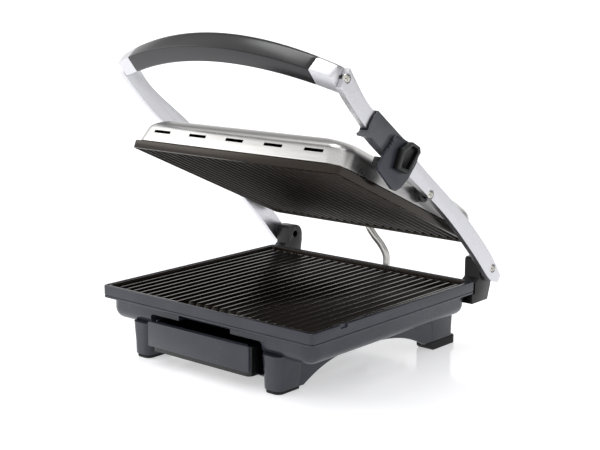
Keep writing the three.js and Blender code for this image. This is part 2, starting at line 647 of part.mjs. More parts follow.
function armSolid() {
  const edge = (points) => new THREE.SplineCurve(points.map(([y, z]) => (
    new THREE.Vector2(HINGE.y + y, HINGE.z + z)))).getPoints(20).map((p) => [p.x, p.y]);
  const outline = [...edge(ARM_UPPER_EDGE), ...edge(ARM_LOWER_EDGE)];
  return toSolid(toeIn(sideProfile(outline, ARM_OUTER - ARM_T, ARM_OUTER)));
}

function arms() {
  const bores = [HINGE, PIVOT, CORNER_SCREW].map((p) => (
    toSolid(xRod(p.r + RUN, POST.x0, ARM_OUTER + 20, p.y, p.z))));
  return pair('arm', toGeometry(cut(armSolid(), ...bores)), 'alloy');
}

const bowOut = (x) => GRIP_BOW - GRIP_BOW_K * x * x;

// Centre of the grip's section at a given x.
function gripCentre(x) {
  const a = rad(GRIP_ANGLE);
  const out = bowOut(x) - GRIP_D / 2;
  return new THREE.Vector3(
    x,
    GRIP_CORNER.y - Math.cos(a) * out - Math.sin(a) * (GRIP_E / 2),
    GRIP_CORNER.z + Math.sin(a) * out - Math.cos(a) * (GRIP_E / 2),
  );
}

// The grip's section swept along the bow between two x positions, ends square to X.
function sweptSection(x0, x1, steps, section) {
  const s = new THREE.Shape(section.map(([e, d]) => new THREE.Vector2(e, d)));
  const g = new THREE.ExtrudeGeometry(s, { depth: 1, steps, bevelEnabled: false });
  const a = rad(GRIP_ANGLE);
  const pos = g.attributes.position;
  for (let i = 0; i < pos.count; i += 1) {
    const x = x0 + (x1 - x0) * pos.getZ(i);
    const c = gripCentre(x);
    const e = pos.getX(i);
    const d = pos.getY(i);
    pos.setXYZ(i, x, c.y + e * Math.sin(a) - d * Math.cos(a), c.z + e * Math.cos(a) + d * Math.sin(a));
  }
  return g;
}

// Section in (across, outward) axes, listed so that a sweep towards +X has outward faces.
function gripSection() {
  const e = GRIP_E / 2;
  const d = GRIP_D / 2;
  return [
    ...arcPoints(-e + 4, -d + 4, 4, 180, 270, 2), ...arcPoints(e - 4, -d + 4, 4, 270, 360, 2),
    ...arcPoints(e - 9, d - 9, 9, 0, 90, 4), ...arcPoints(-e + 2, d - 2, 2, 90, 180, 1),
  ];
}

function coreSection(grow) {
  const half = CORE / 2 + grow;
  return [[-half, -half], [half, -half], [half, half], [-half, half]];
}

function gripShells() {
  const outer = toSolid(sweptSection(-GRIP_SEAM + FIT, GRIP_SEAM - FIT, 18, gripSection()));
  const core = toSolid(sweptSection(-GRIP_SEAM - 5, GRIP_SEAM + 5, 18, coreSection(FIT)));
  return [piece('handle_grip', toGeometry(outer.subtract(core)), 'grip')];
}

function gripCore() {
  const end = GRIP_SEAM + CORE_REACH;
  const core = sweptSection(-end, end, 14, coreSection(0));
  return piece('handle_inner_bar', toGeometry(toSolid(core)), 'alloy');
}

function cornerBlocks() {
  const block = toSolid(sweptSection(GRIP_SEAM, ARM_INNER_END - FIT - 0.2, 4, gripSection()));
  const socket = toSolid(sweptSection(GRIP_SEAM - 5, GRIP_SEAM + CORE_REACH + 1, 3,
    coreSection(FIT)));
  const hole = toSolid(xRod(2.4, ARM_INNER_END - 11.7, ARM_INNER_END + 20, CORNER_SCREW.y,
    CORNER_SCREW.z, 16));
  return pair('grip_corner', toGeometry(cut(block, socket, hole)), 'alloy');
}

function cornerScrews() {
  const face = armFace(CORNER_SCREW.y);
  const { y, z } = CORNER_SCREW;
  const shaft = toSolid(xRod(2.2, ARM_INNER_END - 9.7, face, y, z, 16));
  const head = toSolid(xRod(CORNER_HEAD_R, face + 0.2, face + 1.8, y, z));
  const neck = toSolid(xRod(3.2, face - 4, face + 0.6, y, z, 16));
  return pair('corner_screw', toGeometry(join(shaft, head, neck)), 'screw');
}

// ---- handle: guide sleeve and height slider on the right arm ----
function alongArm(points, x0, x1) {
  const a = rad(ARM_SLOPE);
  const placed = points.map(([s, h]) => [
    SLIDE_START.y - Math.cos(a) * s + Math.sin(a) * h,
    SLIDE_START.z + Math.sin(a) * s + Math.cos(a) * h,
  ]);
  return sideProfile(placed.reverse(), x0, x1);
}

// Outlines on the slider are [s, h]: s runs up the arm, h across it.
function guideSleeve() {
  const t = armFace(SLIDE_START.y - 32);
  const outline = [
    [-2, -16], [46, -14.8], [58, -13.8], [64, -15.4], [70, -17.8], [72.5, -16.2], [69.5, -12.4],
    [71, -4], [70, 6], [67.5, 14.4], [-2, 13],
  ];
  const body = toSolid(alongArm(outline, t - ARM_T - SLEEVE_SIDE, t + SLEEVE_SIDE));
  const room = [
    [-20, -14.8], [10, -14.1], [46, -12.7], [62, -11.2], [100, -6.6], [100, 14.4], [60, 12.6],
    [32, 11.6], [-20, 11.2],
  ];
  const hollow = toSolid(alongArm(room, t - ARM_T - FIT - 0.9, t + FIT + 0.9));
  return piece('slider_guide_sleeve', toGeometry(body.subtract(hollow)), 'housing');
}

function heightSlider() {
  const x0 = armFace(SLIDE_START.y - 12) + SLEEVE_SIDE + 3 * FIT;
  const outline = [
    [30, 8], [33, 1], [31, -1], [34, -3], [32, -5], [35, -7], [33, -9], [36, -11], [38, -33],
    [35, -38], [4, -43], [-4, -41], [-10, -34], [-15.6, -20], [-19, 1], [-17, 13], [8, 12],
  ];
  const flag = toSolid(alongArm(outline, x0, x0 + 3.4));
  const thumb = toSolid(alongArm([
    [21, -3], [17, -25], [-4, -20], [-9, 9], [-4, 13], [10, 11],
  ], x0 + 3.4 + FIT, x0 + 11));
  const dish = toSolid(alongArm([
    [16.5, -5], [13, -20.5], [0, -16.5], [-4, 7.5], [-1.5, 9.5], [8, 7.5],
  ], x0 + 5.5, x0 + 20));
  const foot = toSolid(alongArm([[36, -31], [36, -22.3], [4, -22.3], [4, -33]],
    x0 - 9.35, x0 - FIT));
  return [
    piece('height_slider', toGeometry(flag), 'housing'),
    piece('slider_thumb_grip', toGeometry(cut(thumb, dish)), 'black'),
    piece('slider_foot', toGeometry(foot), 'black'),
  ];
}

// ---- upper unit, built flat: x, y = -distance forward of the back edge, z above the underside ----
function upperPlate() {
  const mid = -UPPER_D / 2;
  const web = UPPER_H - PLATE_WEB;
  const block = toSolid(slab(UPPER_W, UPPER_D, 3, 0, UPPER_H, 0, mid));
  const inside = UPPER_W - 2 * PLATE_WALL;
  const pocket = toSolid(slab(inside, UPPER_D - 2 * PLATE_WALL, 1.5, -2, web, 0, mid));
  const ribs = ribBars(inside, UPPER_D - 3 * PLATE_WALL, mid, web, -1);
  return piece('upper_grill_plate', toGeometry(join(cut(block, pocket), ...ribs)), 'plate');
}

function coverShell(grow) {
  const w = UPPER_W - 2 * grow;
  const d = UPPER_D - 2 * grow;
  const z0 = UPPER_H + FIT;
  const creaseR = COVER_CORNER - COVER_WALL_IN;
  const low = taperedSlab(w, d, creaseR, COVER_WALL_IN, z0, COVER_MID_H - grow);
  const high = taperedSlab(w - 2 * COVER_WALL_IN, d - 2 * COVER_WALL_IN, creaseR - COVER_TOP_IN,
    COVER_TOP_IN, COVER_MID_H - grow - 0.02, COVER_TOP_H - grow);
  return join(low, high).translate([0, -UPPER_D / 2, 0]);
}

function upperCover() {
  const outer = coverShell(0);
  const inner = coverShell(COVER_SHEET).translate([0, 0, -0.01]);
  const floor = solidBox(-UPPER_W, UPPER_W, -UPPER_D * 1.5, UPPER_D, 0, UPPER_H + FIT);
  const vents = [];
  const count = Math.floor((UPPER_W - 2 * VENT_MARGIN - VENT_W) / VENT_PITCH) + 1;
  for (let i = 0; i < count; i += 1) {
    const x = (i - (count - 1) / 2) * VENT_PITCH;
    vents.push(solidBox(x - VENT_W / 2, x + VENT_W / 2, -UPPER_D - 5, -UPPER_D + 14,
      VENT_LEVEL - VENT_H / 2, VENT_LEVEL + VENT_H / 2));
  }
  const axle = toSolid(xRod(SPACER_R + 0.4, -UPPER_W, UPPER_W, -LUG.along, LUG.level));
  const hose = toSolid(yRod(UPPER_GROMMET_R + 0.2, -12, 6, HOSE_UP.x, HOSE_UP.level));
  const body = cut(outer, inner, floor, axle, hose, ...vents);
  return piece('upper_cover', toGeometry(body), 'steel');
}

function upperGrommet() {
  const outer = toSolid(yRod(UPPER_GROMMET_R, -7.6, -0.9, HOSE_UP.x, HOSE_UP.level));
  const bore = toSolid(yRod(CONDUIT_R - GROMMET_GRIP - 0.2, -20, 10, HOSE_UP.x, HOSE_UP.level,
    16));
  return piece('conduit_grommet_upper', toGeometry(outer.subtract(bore)), 'rubber');
}

function upperElement() {
  const path = elementPath(UPPER_W / 2 - 58.15, UPPER_H + 3.5, -24, -UPPER_D + 37.7);
  return piece('upper_heating_element', tube(path, 3.1, 84, 5), 'sheet');
}

function heatShield() {
  const w = UPPER_W - 64.3;
  const d = UPPER_D - 41.7;
  const z0 = UPPER_H + 8.3;
  const flange = toSolid(slab(w, d, 4, z0, z0 + 7, 0, -UPPER_D / 2));
  const inner = toSolid(slab(w - 2.4, d - 2.4, 3, z0 + 1.2, z0 + 9, 0, -UPPER_D / 2));
  return piece('upper_heat_shield', toGeometry(flange.subtract(inner)), 'sheet');
}

function upperControls() {
  const z0 = UPPER_H + FIT;
  return [
    piece('upper_thermostat', zRod(10, z0, z0 + 7.6, 0, -UPPER_D * 0.62, 20), 'ceramic'),
    piece('upper_thermal_fuse', xRod(2.6, -20, 12, -UPPER_D * 0.4, z0 + 4.4, 12), 'screw'),
  ];
}

function pivotLugs() {
  const a = LUG.along;
  const outline = [
    [-a - 26, UPPER_H + FIT], [-a + 26, UPPER_H + FIT], [-a + 26, UPPER_H + 4],
    [-a + 10, LUG.level + 5], [-a + 5, LUG.level + 9], [-a - 5, LUG.level + 9],
    [-a - 10, LUG.level + 5], [-a - 26, UPPER_H + 4],
  ];
  const body = toSolid(sideProfile(outline, LUG.x1 - LUG.w, LUG.x1));
  const bore = toSolid(xRod(PIVOT.r + RUN, 0, UPPER_W, -a, LUG.level));
  return pair('pivot_lug', toGeometry(body.subtract(bore)), 'alloy');
}

function pivotSpacers() {
  const x1 = armFace(PIVOT.y) - ARM_T - FIT;
  const body = toSolid(xRod(SPACER_R, LUG.x1 + FIT, x1 - 0.2, -LUG.along, LUG.level));
  const bore = toSolid(xRod(PIVOT.r + RUN, 0, UPPER_W, -LUG.along, LUG.level));
  return pair('pivot_spacer', toGeometry(body.subtract(bore)), 'black');
}

function pivotBolts() {
  const bolt = boltSolid(PIVOT.r, BOLT_HEAD_R, LUG.x1 - LUG.w - 1, armFace(PIVOT.y), PIVOT.y, PIVOT.z);
  return pair('pivot_bolt', bolt, 'screw');
}

// ---- assembly ----
function buildBase() {
  const base = new THREE.Group();
  base.name = 'base';
  base.add(baseHousing(), serviceCover(), ...coverScrews(), ...frontPads(), ...rearFeet());
  base.add(lowerPlate(), lowerElement(), ...thermostats(), inletGland());
  base.add(...hingePost(), ...hingeBolts(), conduitLower(), conduitGrommet(), ...trayRunners());
  return base;
}

function buildTray() {
  const tray = new THREE.Group();
  tray.name = 'tray';
  tray.add(dripTray(), trayFront());
  return tray;
}

function buildHandle() {
  const handle = new THREE.Group();
  handle.name = 'handle';
  handle.add(...arms(), ...gripShells(), gripCore(), ...cornerBlocks(), ...cornerScrews());
  handle.add(...pivotBolts(), guideSleeve());
  return handle;
}

function buildSlider() {
  const slider = new THREE.Group();
  slider.name = 'slider';
  slider.add(...heightSlider());
  return slider;
}

function buildUpper() {
  const upper = new THREE.Group();
  upper.name = 'upper_unit';
  upper.position.set(0, UPPER_BACK_Y, UPPER_BACK_Z);
  upper.rotation.x = -rad(UPPER_TILT);
  upper.add(upperPlate(), upperCover(), upperGrommet(), upperElement(), heatShield());
  upper.add(...upperControls(), ...pivotLugs(), ...pivotSpacers());
  return upper;
}

const press = new THREE.Group();
press.name = 'panini_press';
press.position.set(SHIFT_X, SHIFT_Y, 0);
press.add(buildBase(), buildTray(), buildHandle(), buildSlider(), buildUpper(), conduitUpper());
export default press;
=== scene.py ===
# %% [markdown]
# # A panini press, half open
# This file dresses a finished CAD model of a panini press. The CAD model fixes every size and
# every joint. All lengths are in metres, and the helper `mm` lets us write sizes the way a
# maker would. First we load the CAD model as a fixed frame.

# %% Load the frame
import json
import math

import bmesh
import bpy
from mathutils import Matrix, Vector

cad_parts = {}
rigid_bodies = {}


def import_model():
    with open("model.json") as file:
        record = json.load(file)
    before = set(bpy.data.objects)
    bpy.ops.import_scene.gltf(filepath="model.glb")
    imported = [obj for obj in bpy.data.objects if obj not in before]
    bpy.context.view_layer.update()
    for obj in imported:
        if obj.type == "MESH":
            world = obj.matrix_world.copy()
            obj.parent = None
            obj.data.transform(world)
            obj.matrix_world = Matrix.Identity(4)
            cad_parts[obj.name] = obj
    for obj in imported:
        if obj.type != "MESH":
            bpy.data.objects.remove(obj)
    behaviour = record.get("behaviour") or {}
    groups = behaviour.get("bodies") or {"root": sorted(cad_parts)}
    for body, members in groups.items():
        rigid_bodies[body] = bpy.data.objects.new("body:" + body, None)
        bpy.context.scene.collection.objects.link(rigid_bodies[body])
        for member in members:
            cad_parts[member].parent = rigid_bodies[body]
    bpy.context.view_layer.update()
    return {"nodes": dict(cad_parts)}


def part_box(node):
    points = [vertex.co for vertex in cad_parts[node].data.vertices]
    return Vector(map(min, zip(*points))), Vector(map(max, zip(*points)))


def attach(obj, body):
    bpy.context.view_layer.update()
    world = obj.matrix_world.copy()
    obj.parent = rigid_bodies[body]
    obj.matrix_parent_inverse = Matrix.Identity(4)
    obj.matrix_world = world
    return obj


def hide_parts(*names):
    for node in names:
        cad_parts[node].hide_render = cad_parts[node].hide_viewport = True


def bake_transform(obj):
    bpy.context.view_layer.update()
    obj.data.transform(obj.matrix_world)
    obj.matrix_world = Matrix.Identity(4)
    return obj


scene = bpy.context.scene
for spare in list(scene.objects):
    bpy.data.objects.remove(spare)
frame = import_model()
nodes = frame["nodes"]


def mm(value):
    """Millimetres to metres."""
    return value * 0.001


# %% [markdown]
# The housing's box in the CAD model gives the middle of the press from left to right, the rim's
# half width and its top. The other places are sizes in millimetres from the middle of the base.
# The upper unit hangs by its rear lower edge and by its tilt. Its pieces are built lying flat,
# with the rear edge at zero, and the matrix `UPPER_FRAME` then puts them in place.

# %% Where things are
housing_lo, housing_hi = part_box("base_housing")
MIDDLE_X = (housing_lo.x + housing_hi.x) / 2
RIM_HALF_X = (housing_hi.x - housing_lo.x) / 2
RIM_TOP = housing_hi.z
RIM_HALF_Y = mm(148.75)
MIDDLE_Y = -mm(16)
UPPER_TILT = math.radians(24.25)
UPPER_BACK = Vector((MIDDLE_X, MIDDLE_Y + mm(150), mm(120.3)))
UPPER_FRAME = Matrix.Translation(UPPER_BACK) @ Matrix.Rotation(-UPPER_TILT, 4, "X")
HINGE = Vector((MIDDLE_X, MIDDLE_Y + mm(170), mm(90.3)))
PIVOT = Vector((MIDDLE_X, MIDDLE_Y + mm(43.1), mm(195.5)))
BASE_FRAME = Matrix.Translation((MIDDLE_X, MIDDLE_Y, 0))


def from_base(x, y, z):
    """A point given in millimetres from the middle of the base, in metres in the row frame."""
    return BASE_FRAME @ Vector((mm(x), mm(y), mm(z)))


print("rim half width", round(RIM_HALF_X, 4), "rim top", round(RIM_TOP, 4))

# %% [markdown]
# ## The camera
# A product photographer stands to the right of the press and a little above it, with a long lens
# on the camera, so that the edges of the press stay nearly parallel.

# %% Camera
CAMERA_AT = from_base(962.5, -1101.2, 439.2)
CAMERA_AZIMUTH = math.radians(40.69)
CAMERA_DOWN = math.radians(11.33)
camera_data = bpy.data.cameras.new("product_camera")
camera_data.lens = 77.1
camera_data.sensor_width = 36.0
camera = bpy.data.objects.new("product_camera", camera_data)
camera.location = CAMERA_AT
camera.rotation_euler = (math.radians(90) - CAMERA_DOWN, 0.0, CAMERA_AZIMUTH)
scene.collection.objects.link(camera)
scene.camera = camera
print("camera at", [round(v, 3) for v in camera.location])

# %% [markdown]
# ## Small tools for meshes
# Most housings are a profile carried round a rounded rectangle: up the outside, over the rim and
# down the inside. `loft` does exactly that. Each ring is a rounded rectangle with its own half
# sizes, corner radius and height, and neighbouring rings are joined with quads. It gives clean,
# even faces, which take a smooth shade far better than the triangles of a CAD export.

# %% Shapes from rings
CORNER_STEPS = 7


def mesh_object(name, points, faces):
    """A mesh object from points and faces, in the scene."""
    mesh = bpy.data.meshes.new(name)
    mesh.from_pydata([tuple(p) for p in points], [], faces)
    mesh.update()
    obj = bpy.data.objects.new(name, mesh)
    scene.collection.objects.link(obj)
    return obj


def rounded_ring(half_x, half_y, radius, z, steps=CORNER_STEPS):
    """Points round a rounded rectangle at height z, counter-clockwise from above."""
    ring = []
    for quarter, (sx, sy) in enumerate([(1, -1), (1, 1), (-1, 1), (-1, -1)]):
        start = -math.pi / 2 + quarter * math.pi / 2
        for i in range(steps + 1):
            angle = start + i / steps * math.pi / 2
            x = sx * (half_x - radius) + radius * math.cos(angle)
            y = sy * (half_y - radius) + radius * math.sin(angle)
            ring.append(Vector((x, y, z)))
    return ring


def loft(name, rings):
    """Joins rings of equal length with quads and caps both ends."""
    count = len(rings[0])
    points = [p for ring in rings for p in ring]
    faces = []
    for a in range(len(rings) - 1):
        for i in range(count):
            j = (i + 1) % count
            faces.append((a * count + i, a * count + j, (a + 1) * count + j, (a + 1) * count + i))
    faces.append(tuple(reversed(range(count))))
    last = (len(rings) - 1) * count
    faces.append(tuple(range(last, last + count)))
    return mesh_object(name, points, faces)


def arc(centre, radius, start, end, steps):
    """Points on an arc in a plane, as (across, up) pairs. Angles are in degrees."""
    made = []
    for i in range(steps + 1):
        angle = math.radians(start + (end - start) * i / steps)
        made.append((centre[0] + radius * math.cos(angle), centre[1] + radius * math.sin(angle)))
    return made


def block(name, lo, hi):
    """A plain box between two corners, used to cut or to build on."""
    points = [Vector((x, y, z))
              for z in (lo[2], hi[2]) for y in (lo[1], hi[1]) for x in (lo[0], hi[0])]
    faces = [(0, 2, 3, 1), (4, 5, 7, 6), (0, 1, 5, 4), (1, 3, 7, 5), (3, 2, 6, 7), (2, 0, 4, 6)]
    return mesh_object(name, points, faces)


# %% [markdown]
# A real moulding is never sharp, and its holes are cut in by tools. `rounded_edges` rolls a small
# radius over every edge, and `carve` takes one solid away from another. Both leave plain mesh
# behind. A Boolean trusts the way faces point, so `carve` first turns them all outwards.

# %% Rounding and carving
def bake(obj):
    """Turns the modifiers into plain mesh."""
    bpy.context.view_layer.update()
    graph = bpy.context.evaluated_depsgraph_get()
    mesh = bpy.data.meshes.new_from_object(obj.evaluated_get(graph))
    obj.modifiers.clear()
    obj.data = mesh
    return obj


def place(obj, matrix):
    """Puts a matrix into the mesh, so that the object itself stays at the origin."""
    obj.data.transform(matrix)
    obj.data.update()
    return obj


def shade(obj, sharp_over=32):
    """Smooth shading that keeps edges sharper than the given angle in degrees."""
    obj.data.shade_smooth()
    obj.data.set_sharp_from_angle(angle=math.radians(sharp_over))
    return obj


def rounded_edges(obj, width, segments, over=30):
    """Rounds every edge sharper than `over` degrees, with the width in millimetres."""
    bevel = obj.modifiers.new("rounding", "BEVEL")
    bevel.width = mm(width)
    bevel.segments = segments
    bevel.limit_method = "ANGLE"
    bevel.angle_limit = math.radians(over)
    bevel.use_clamp_overlap = True
    bevel.miter_outer = "MITER_ARC"
    return bake(obj)


def join_meshes(name, objs):
    """One object from several, with the small ones removed."""
    joined = bmesh.new()
    for obj in objs:
        joined.from_mesh(obj.data)
        bpy.data.objects.remove(obj)
    mesh = bpy.data.meshes.new(name)
    joined.to_mesh(mesh)
    joined.free()
    made = bpy.data.objects.new(name, mesh)
    scene.collection.objects.link(made)
    return made


def carve(obj, cutter, operation="DIFFERENCE"):
    """Cuts the cutter out of obj, or adds it, and removes the cutter."""
    for solid in (obj, cutter):
        facing = bmesh.new()
        facing.from_mesh(solid.data)
        bmesh.ops.recalc_face_normals(facing, faces=facing.faces)
        facing.to_mesh(solid.data)
        facing.free()
    modifier = obj.modifiers.new("carve", "BOOLEAN")
    modifier.operation = operation
    modifier.solver = "EXACT"
    modifier.object = cutter
    bake(obj)
    bpy.data.objects.remove(cutter)
    return obj

# %% [markdown]
# Some CAD pieces already have the right shape and only lack soft edges. `softened` copies such a
# piece, merges its loose triangles back into flat faces and rounds the edges. The copy stands for
# the CAD piece, which stays in the file for collisions but isn't shown.

# %% Softened copies of CAD pieces
def merged_copy(node, name):
    """A copy of a CAD node with its triangles merged into flat faces."""
    copy = bmesh.new()
    copy.from_mesh(nodes[node].data)
    bmesh.ops.remove_doubles(copy, verts=copy.verts, dist=mm(0.01))
    bmesh.ops.dissolve_limit(
        copy, angle_limit=math.radians(0.6), verts=copy.verts, edges=copy.edges)
    mesh = bpy.data.meshes.new(name)
    copy.to_mesh(mesh)
    copy.free()
    obj = bpy.data.objects.new(name, mesh)
    scene.collection.objects.link(obj)
    return obj


def finish_piece(obj, body, material, replaced):
    """Gives a piece its material, its body and the CAD nodes it stands for."""
    if material is not None:
        obj.data.materials.clear()
        obj.data.materials.append(material)
    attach(obj, body)
    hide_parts(*replaced)
    print(obj.name, "has", len(obj.data.polygons), "faces")
    return obj


def softened(node, name, width):
    """A copy of a CAD node with rounded edges, shaded smooth."""
    return shade(rounded_edges(merged_copy(node, name), width, 2))


# %% [markdown]
# ## Materials
# Each material begins with what the real one is. `hex_colour` turns a colour from the usual sRGB
# hex form into Blender's linear values, and `add` puts a node into a tree with its settings and
# its links, so that a material reads like a short recipe.

# %% Colours and nodes
def hex_colour(code):
    """An sRGB colour such as "c8c8cc" as linear red, green, blue and alpha."""
    parts = [int(code[i:i + 2], 16) / 255 for i in (0, 2, 4)]
    linear = [p / 12.92 if p <= 0.04045 else ((p + 0.055) / 1.055) ** 2.4 for p in parts]
    return (*linear, 1.0)


def add(tree, kind, links=None, **settings):
    """Adds a node. Settings named after a socket fill it, others are the node's own. Links fill
    a socket, by name or number, from a node, from one of its outputs or with a plain value."""
    node = tree.nodes.new(kind)
    for key, value in settings.items():
        if hasattr(node, key):
            setattr(node, key, value)
        else:
            node.inputs[key.replace("_", " ")].default_value = value
    for socket, source in (links or {}).items():
        if isinstance(source, bpy.types.Node):
            source = source.outputs[0]
        if isinstance(source, bpy.types.NodeSocket):
            tree.links.new(source, node.inputs[socket])
        else:
            node.inputs[socket].default_value = source
    return node


def new_material(name, colour, roughness, metallic=0.0, ior=None):
    """A material with one shader. Returns the material, its tree and the shader."""
    material = bpy.data.materials.new(name)
    material.use_nodes = True
    tree = material.node_tree
    shader = tree.nodes["Principled BSDF"]
    shader.inputs["Base Color"].default_value = hex_colour(colour)
    shader.inputs["Roughness"].default_value = roughness
    shader.inputs["Metallic"].default_value = metallic
    if ior is not None:
        shader.inputs["IOR"].default_value = ior
    material.diffuse_color = hex_colour(colour)
    return material, tree, shader


# %% [markdown]
# Nearly every surface here needs the same few touches: a grain of a real size, a colour that
# drifts between two close tones, gloss that wanders slowly, and shallow bumps. Each touch gets a
# function that ends at the shader. All noise reads Object coordinates, so it stays on the piece.

# %% Touches that surfaces share
def grain(tree, size, stretch=(1, 1, 1), detail=3):
    """Noise whose grains are `size` millimetres across, stretched along an axis by a factor."""
    place_node = add(tree, "ShaderNodeTexCoord")
    scaled = add(tree, "ShaderNodeMapping", {"Vector": place_node.outputs["Object"]},
                 Scale=[1 / (mm(size) * s) for s in stretch])
    return add(tree, "ShaderNodeTexNoise", {"Vector": scaled}, Scale=1.0, Detail=detail)


def two_tones(tree, shader, source, dark, light, start=0.35, end=0.65):
    """Runs the base colour between two hex colours as the source grows."""
    ramp = add(tree, "ShaderNodeValToRGB", {"Fac": source})
    for stop, at, code in zip(ramp.color_ramp.elements, (start, end), (dark, light)):
        stop.position = at
        stop.color = hex_colour(code)
    tree.links.new(ramp.outputs[0], shader.inputs["Base Color"])


def wandering_gloss(tree, shader, source, roughness, less, more):
    """Lets the roughness wander a little to both sides as the source changes."""
    gloss = add(tree, "ShaderNodeMapRange", {"Value": source}, To_Min=roughness - less,
                To_Max=roughness + more)
    tree.links.new(gloss.outputs[0], shader.inputs["Roughness"])


def relief(tree, shader, source, depth, strength=1.0):
    """Bumps of the given depth in millimetres."""
    bump = add(tree, "ShaderNodeBump", {"Height": source}, Strength=strength, Distance=mm(depth))
    tree.links.new(bump.outputs[0], shader.inputs["Normal"])


# %% [markdown]
# The housing is glass-filled polyamide with a spark-eroded texture: a dense fine grain that
# breaks up reflections into a satin sheen, with slow changes of gloss where fingers have been.
# The real grain is about 0.15 mm, too fine to show here, so it is drawn at 0.7 mm. The grip is
# phenolic, which is smoother and takes a long clean highlight. The rubber feet are silicone and
# nearly matt, and the thermostats sit in steatite, a chalky pale ceramic.

# %% Plastics, rubber and ceramic
def moulded_plastic(name, dark, light, roughness, grain_mm, depth):
    """Textured moulded plastic with a fine grain and slow changes of gloss."""
    material, tree, shader = new_material(name, light, roughness, ior=1.44)
    fine = grain(tree, grain_mm)
    slow = grain(tree, 45, detail=2)
    two_tones(tree, shader, slow, dark, light)
    wandering_gloss(tree, shader, slow, roughness, 0.05, 0.06)
    relief(tree, shader, fine, depth)
    return material


POLYAMIDE = moulded_plastic("polyamide_anthracite", "2a2c34", "32343c", 0.25, 0.7, 0.02)
GUIDE_POLYAMIDE = moulded_plastic("polyamide_grey", "48494e", "535459", 0.3, 0.7, 0.02)
POLYAMIDE_BLACK = moulded_plastic("polyamide_black", "060607", "09090a", 0.30, 0.7, 0.03)
TRAY_BLACK = moulded_plastic("polypropylene_black", "060607", "0a0a0b", 0.28, 0.9, 0.03)
GRIP_PLASTIC = moulded_plastic("phenolic_grip", "0f0f12", "141417", 0.22, 0.8, 0.01)
SILICONE = moulded_plastic("silicone_rubber", "141415", "1c1c1d", 0.75, 0.5, 0.06)
CERAMIC = moulded_plastic("steatite_ceramic", "cfc8b8", "e2dccd", 0.45, 0.6, 0.02)
print("plastics made")

# %% [markdown]
# Brushed stainless steel is scratched along one direction by an abrasive belt. The scratches are
# hundreds of times longer than they are wide, so the noise is stretched along X. Real scratches
# are some 0.05 mm apart; here they are drawn 0.6 mm apart so that they show. The cast alloy of the
# arms is bead-blasted and lacquered, which leaves a soft even sparkle instead of lines. Nickel on
# the screws is a warm, tight shine, and zinc on the hidden sheets is greyer and duller.

# %% Metals
def brushed_metal(name, dark, light, roughness, scratch_mm, stretch, depth):
    """Metal with long parallel scratches."""
    material, tree, shader = new_material(name, light, roughness, metallic=1.0)
    lines = grain(tree, scratch_mm, stretch, detail=4)
    slow = grain(tree, 60, detail=2)
    two_tones(tree, shader, lines, dark, light, 0.2, 0.8)
    wandering_gloss(tree, shader, slow, roughness, 0.03, 0.05)
    relief(tree, shader, lines, depth, 0.6)
    return material


def blasted_metal(name, dark, light, roughness, grit_mm, depth):
    """Bead-blasted and lacquered metal with a fine even sparkle."""
    material, tree, shader = new_material(name, light, roughness, metallic=1.0)
    fine = grain(tree, grit_mm, detail=2)
    two_tones(tree, shader, fine, dark, light, 0.3, 0.7)
    shader.inputs["Coat Weight"].default_value = 0.25
    shader.inputs["Coat Roughness"].default_value = 0.25
    relief(tree, shader, fine, depth, 0.5)
    return material


STAINLESS = brushed_metal("stainless_brushed", "aeadab", "cbcac8", 0.27, 0.6, (70, 1, 1), 0.015)
CAST_ALLOY = blasted_metal("cast_aluminium_lacquered", "c6c6ca", "dcdce0", 0.34, 0.9, 0.03)
NICKEL = blasted_metal("nickel_plated_steel", "b8b5ae", "cfccc5", 0.25, 0.9, 0.01)
ZINC = blasted_metal("zinc_plated_steel", "8f9194", "a9abae", 0.38, 2.5, 0.02)
SHEATH = blasted_metal("steel_sheath", "cfcdc9", "dddbd7", 0.30, 1.2, 0.02)
print("metals made")

# %% [markdown]
# The cooking plates are die-cast aluminium with a sprayed non-stick coating. The coating is a
# brown black with a fine orange-peel surface, and it shines softly along the crests of the ribs.
# The ribs of the upper plate get a duller coat, because a glossy one would mirror the lower plate.

# %% Non-stick coating
def nonstick(name, roughness):
    """A dark PTFE coating with orange peel and tiny flecks."""
    material, tree, shader = new_material(name, "15120f", roughness, ior=1.42)
    two_tones(tree, shader, grain(tree, 1.1, detail=2), "0f0b08", "1a1410", 0.45, 0.75)
    shader.inputs["Specular Tint"].default_value = hex_colour("fff0e2")
    relief(tree, shader, grain(tree, 1.6, detail=2), 0.05)
    return material


COATING = nonstick("ptfe_coating", 0.21)
MATT_COATING = nonstick("ptfe_coating_matt", 0.5)
print("coating made")

# %% [markdown]
# ## Geometry Nodes
# The ribs, the vent slots and the screws each repeat one shape, so a small Geometry Nodes tree
# makes each of them. All three trees begin with named inputs and end the same way: instances
# become real mesh and get their material. `grown` runs a tree on a few points, or on none, and
# keeps the result as plain mesh.

# %% Tools for the trees
def new_tree(name, sizes, takes_points=False):
    """A Geometry Nodes tree with named inputs. Returns the tree and what its inputs give."""
    tree = bpy.data.node_groups.new(name, "GeometryNodeTree")
    if takes_points:
        tree.interface.new_socket("Geometry", in_out="INPUT", socket_type="NodeSocketGeometry")
    for label, kind, value in sizes:
        socket = tree.interface.new_socket(label, in_out="INPUT", socket_type=f"NodeSocket{kind}")
        socket.default_value = value
    tree.interface.new_socket("Material", in_out="INPUT", socket_type="NodeSocketMaterial")
    tree.interface.new_socket("Geometry", in_out="OUTPUT", socket_type="NodeSocketGeometry")
    return tree, tree.nodes.new("NodeGroupInput").outputs


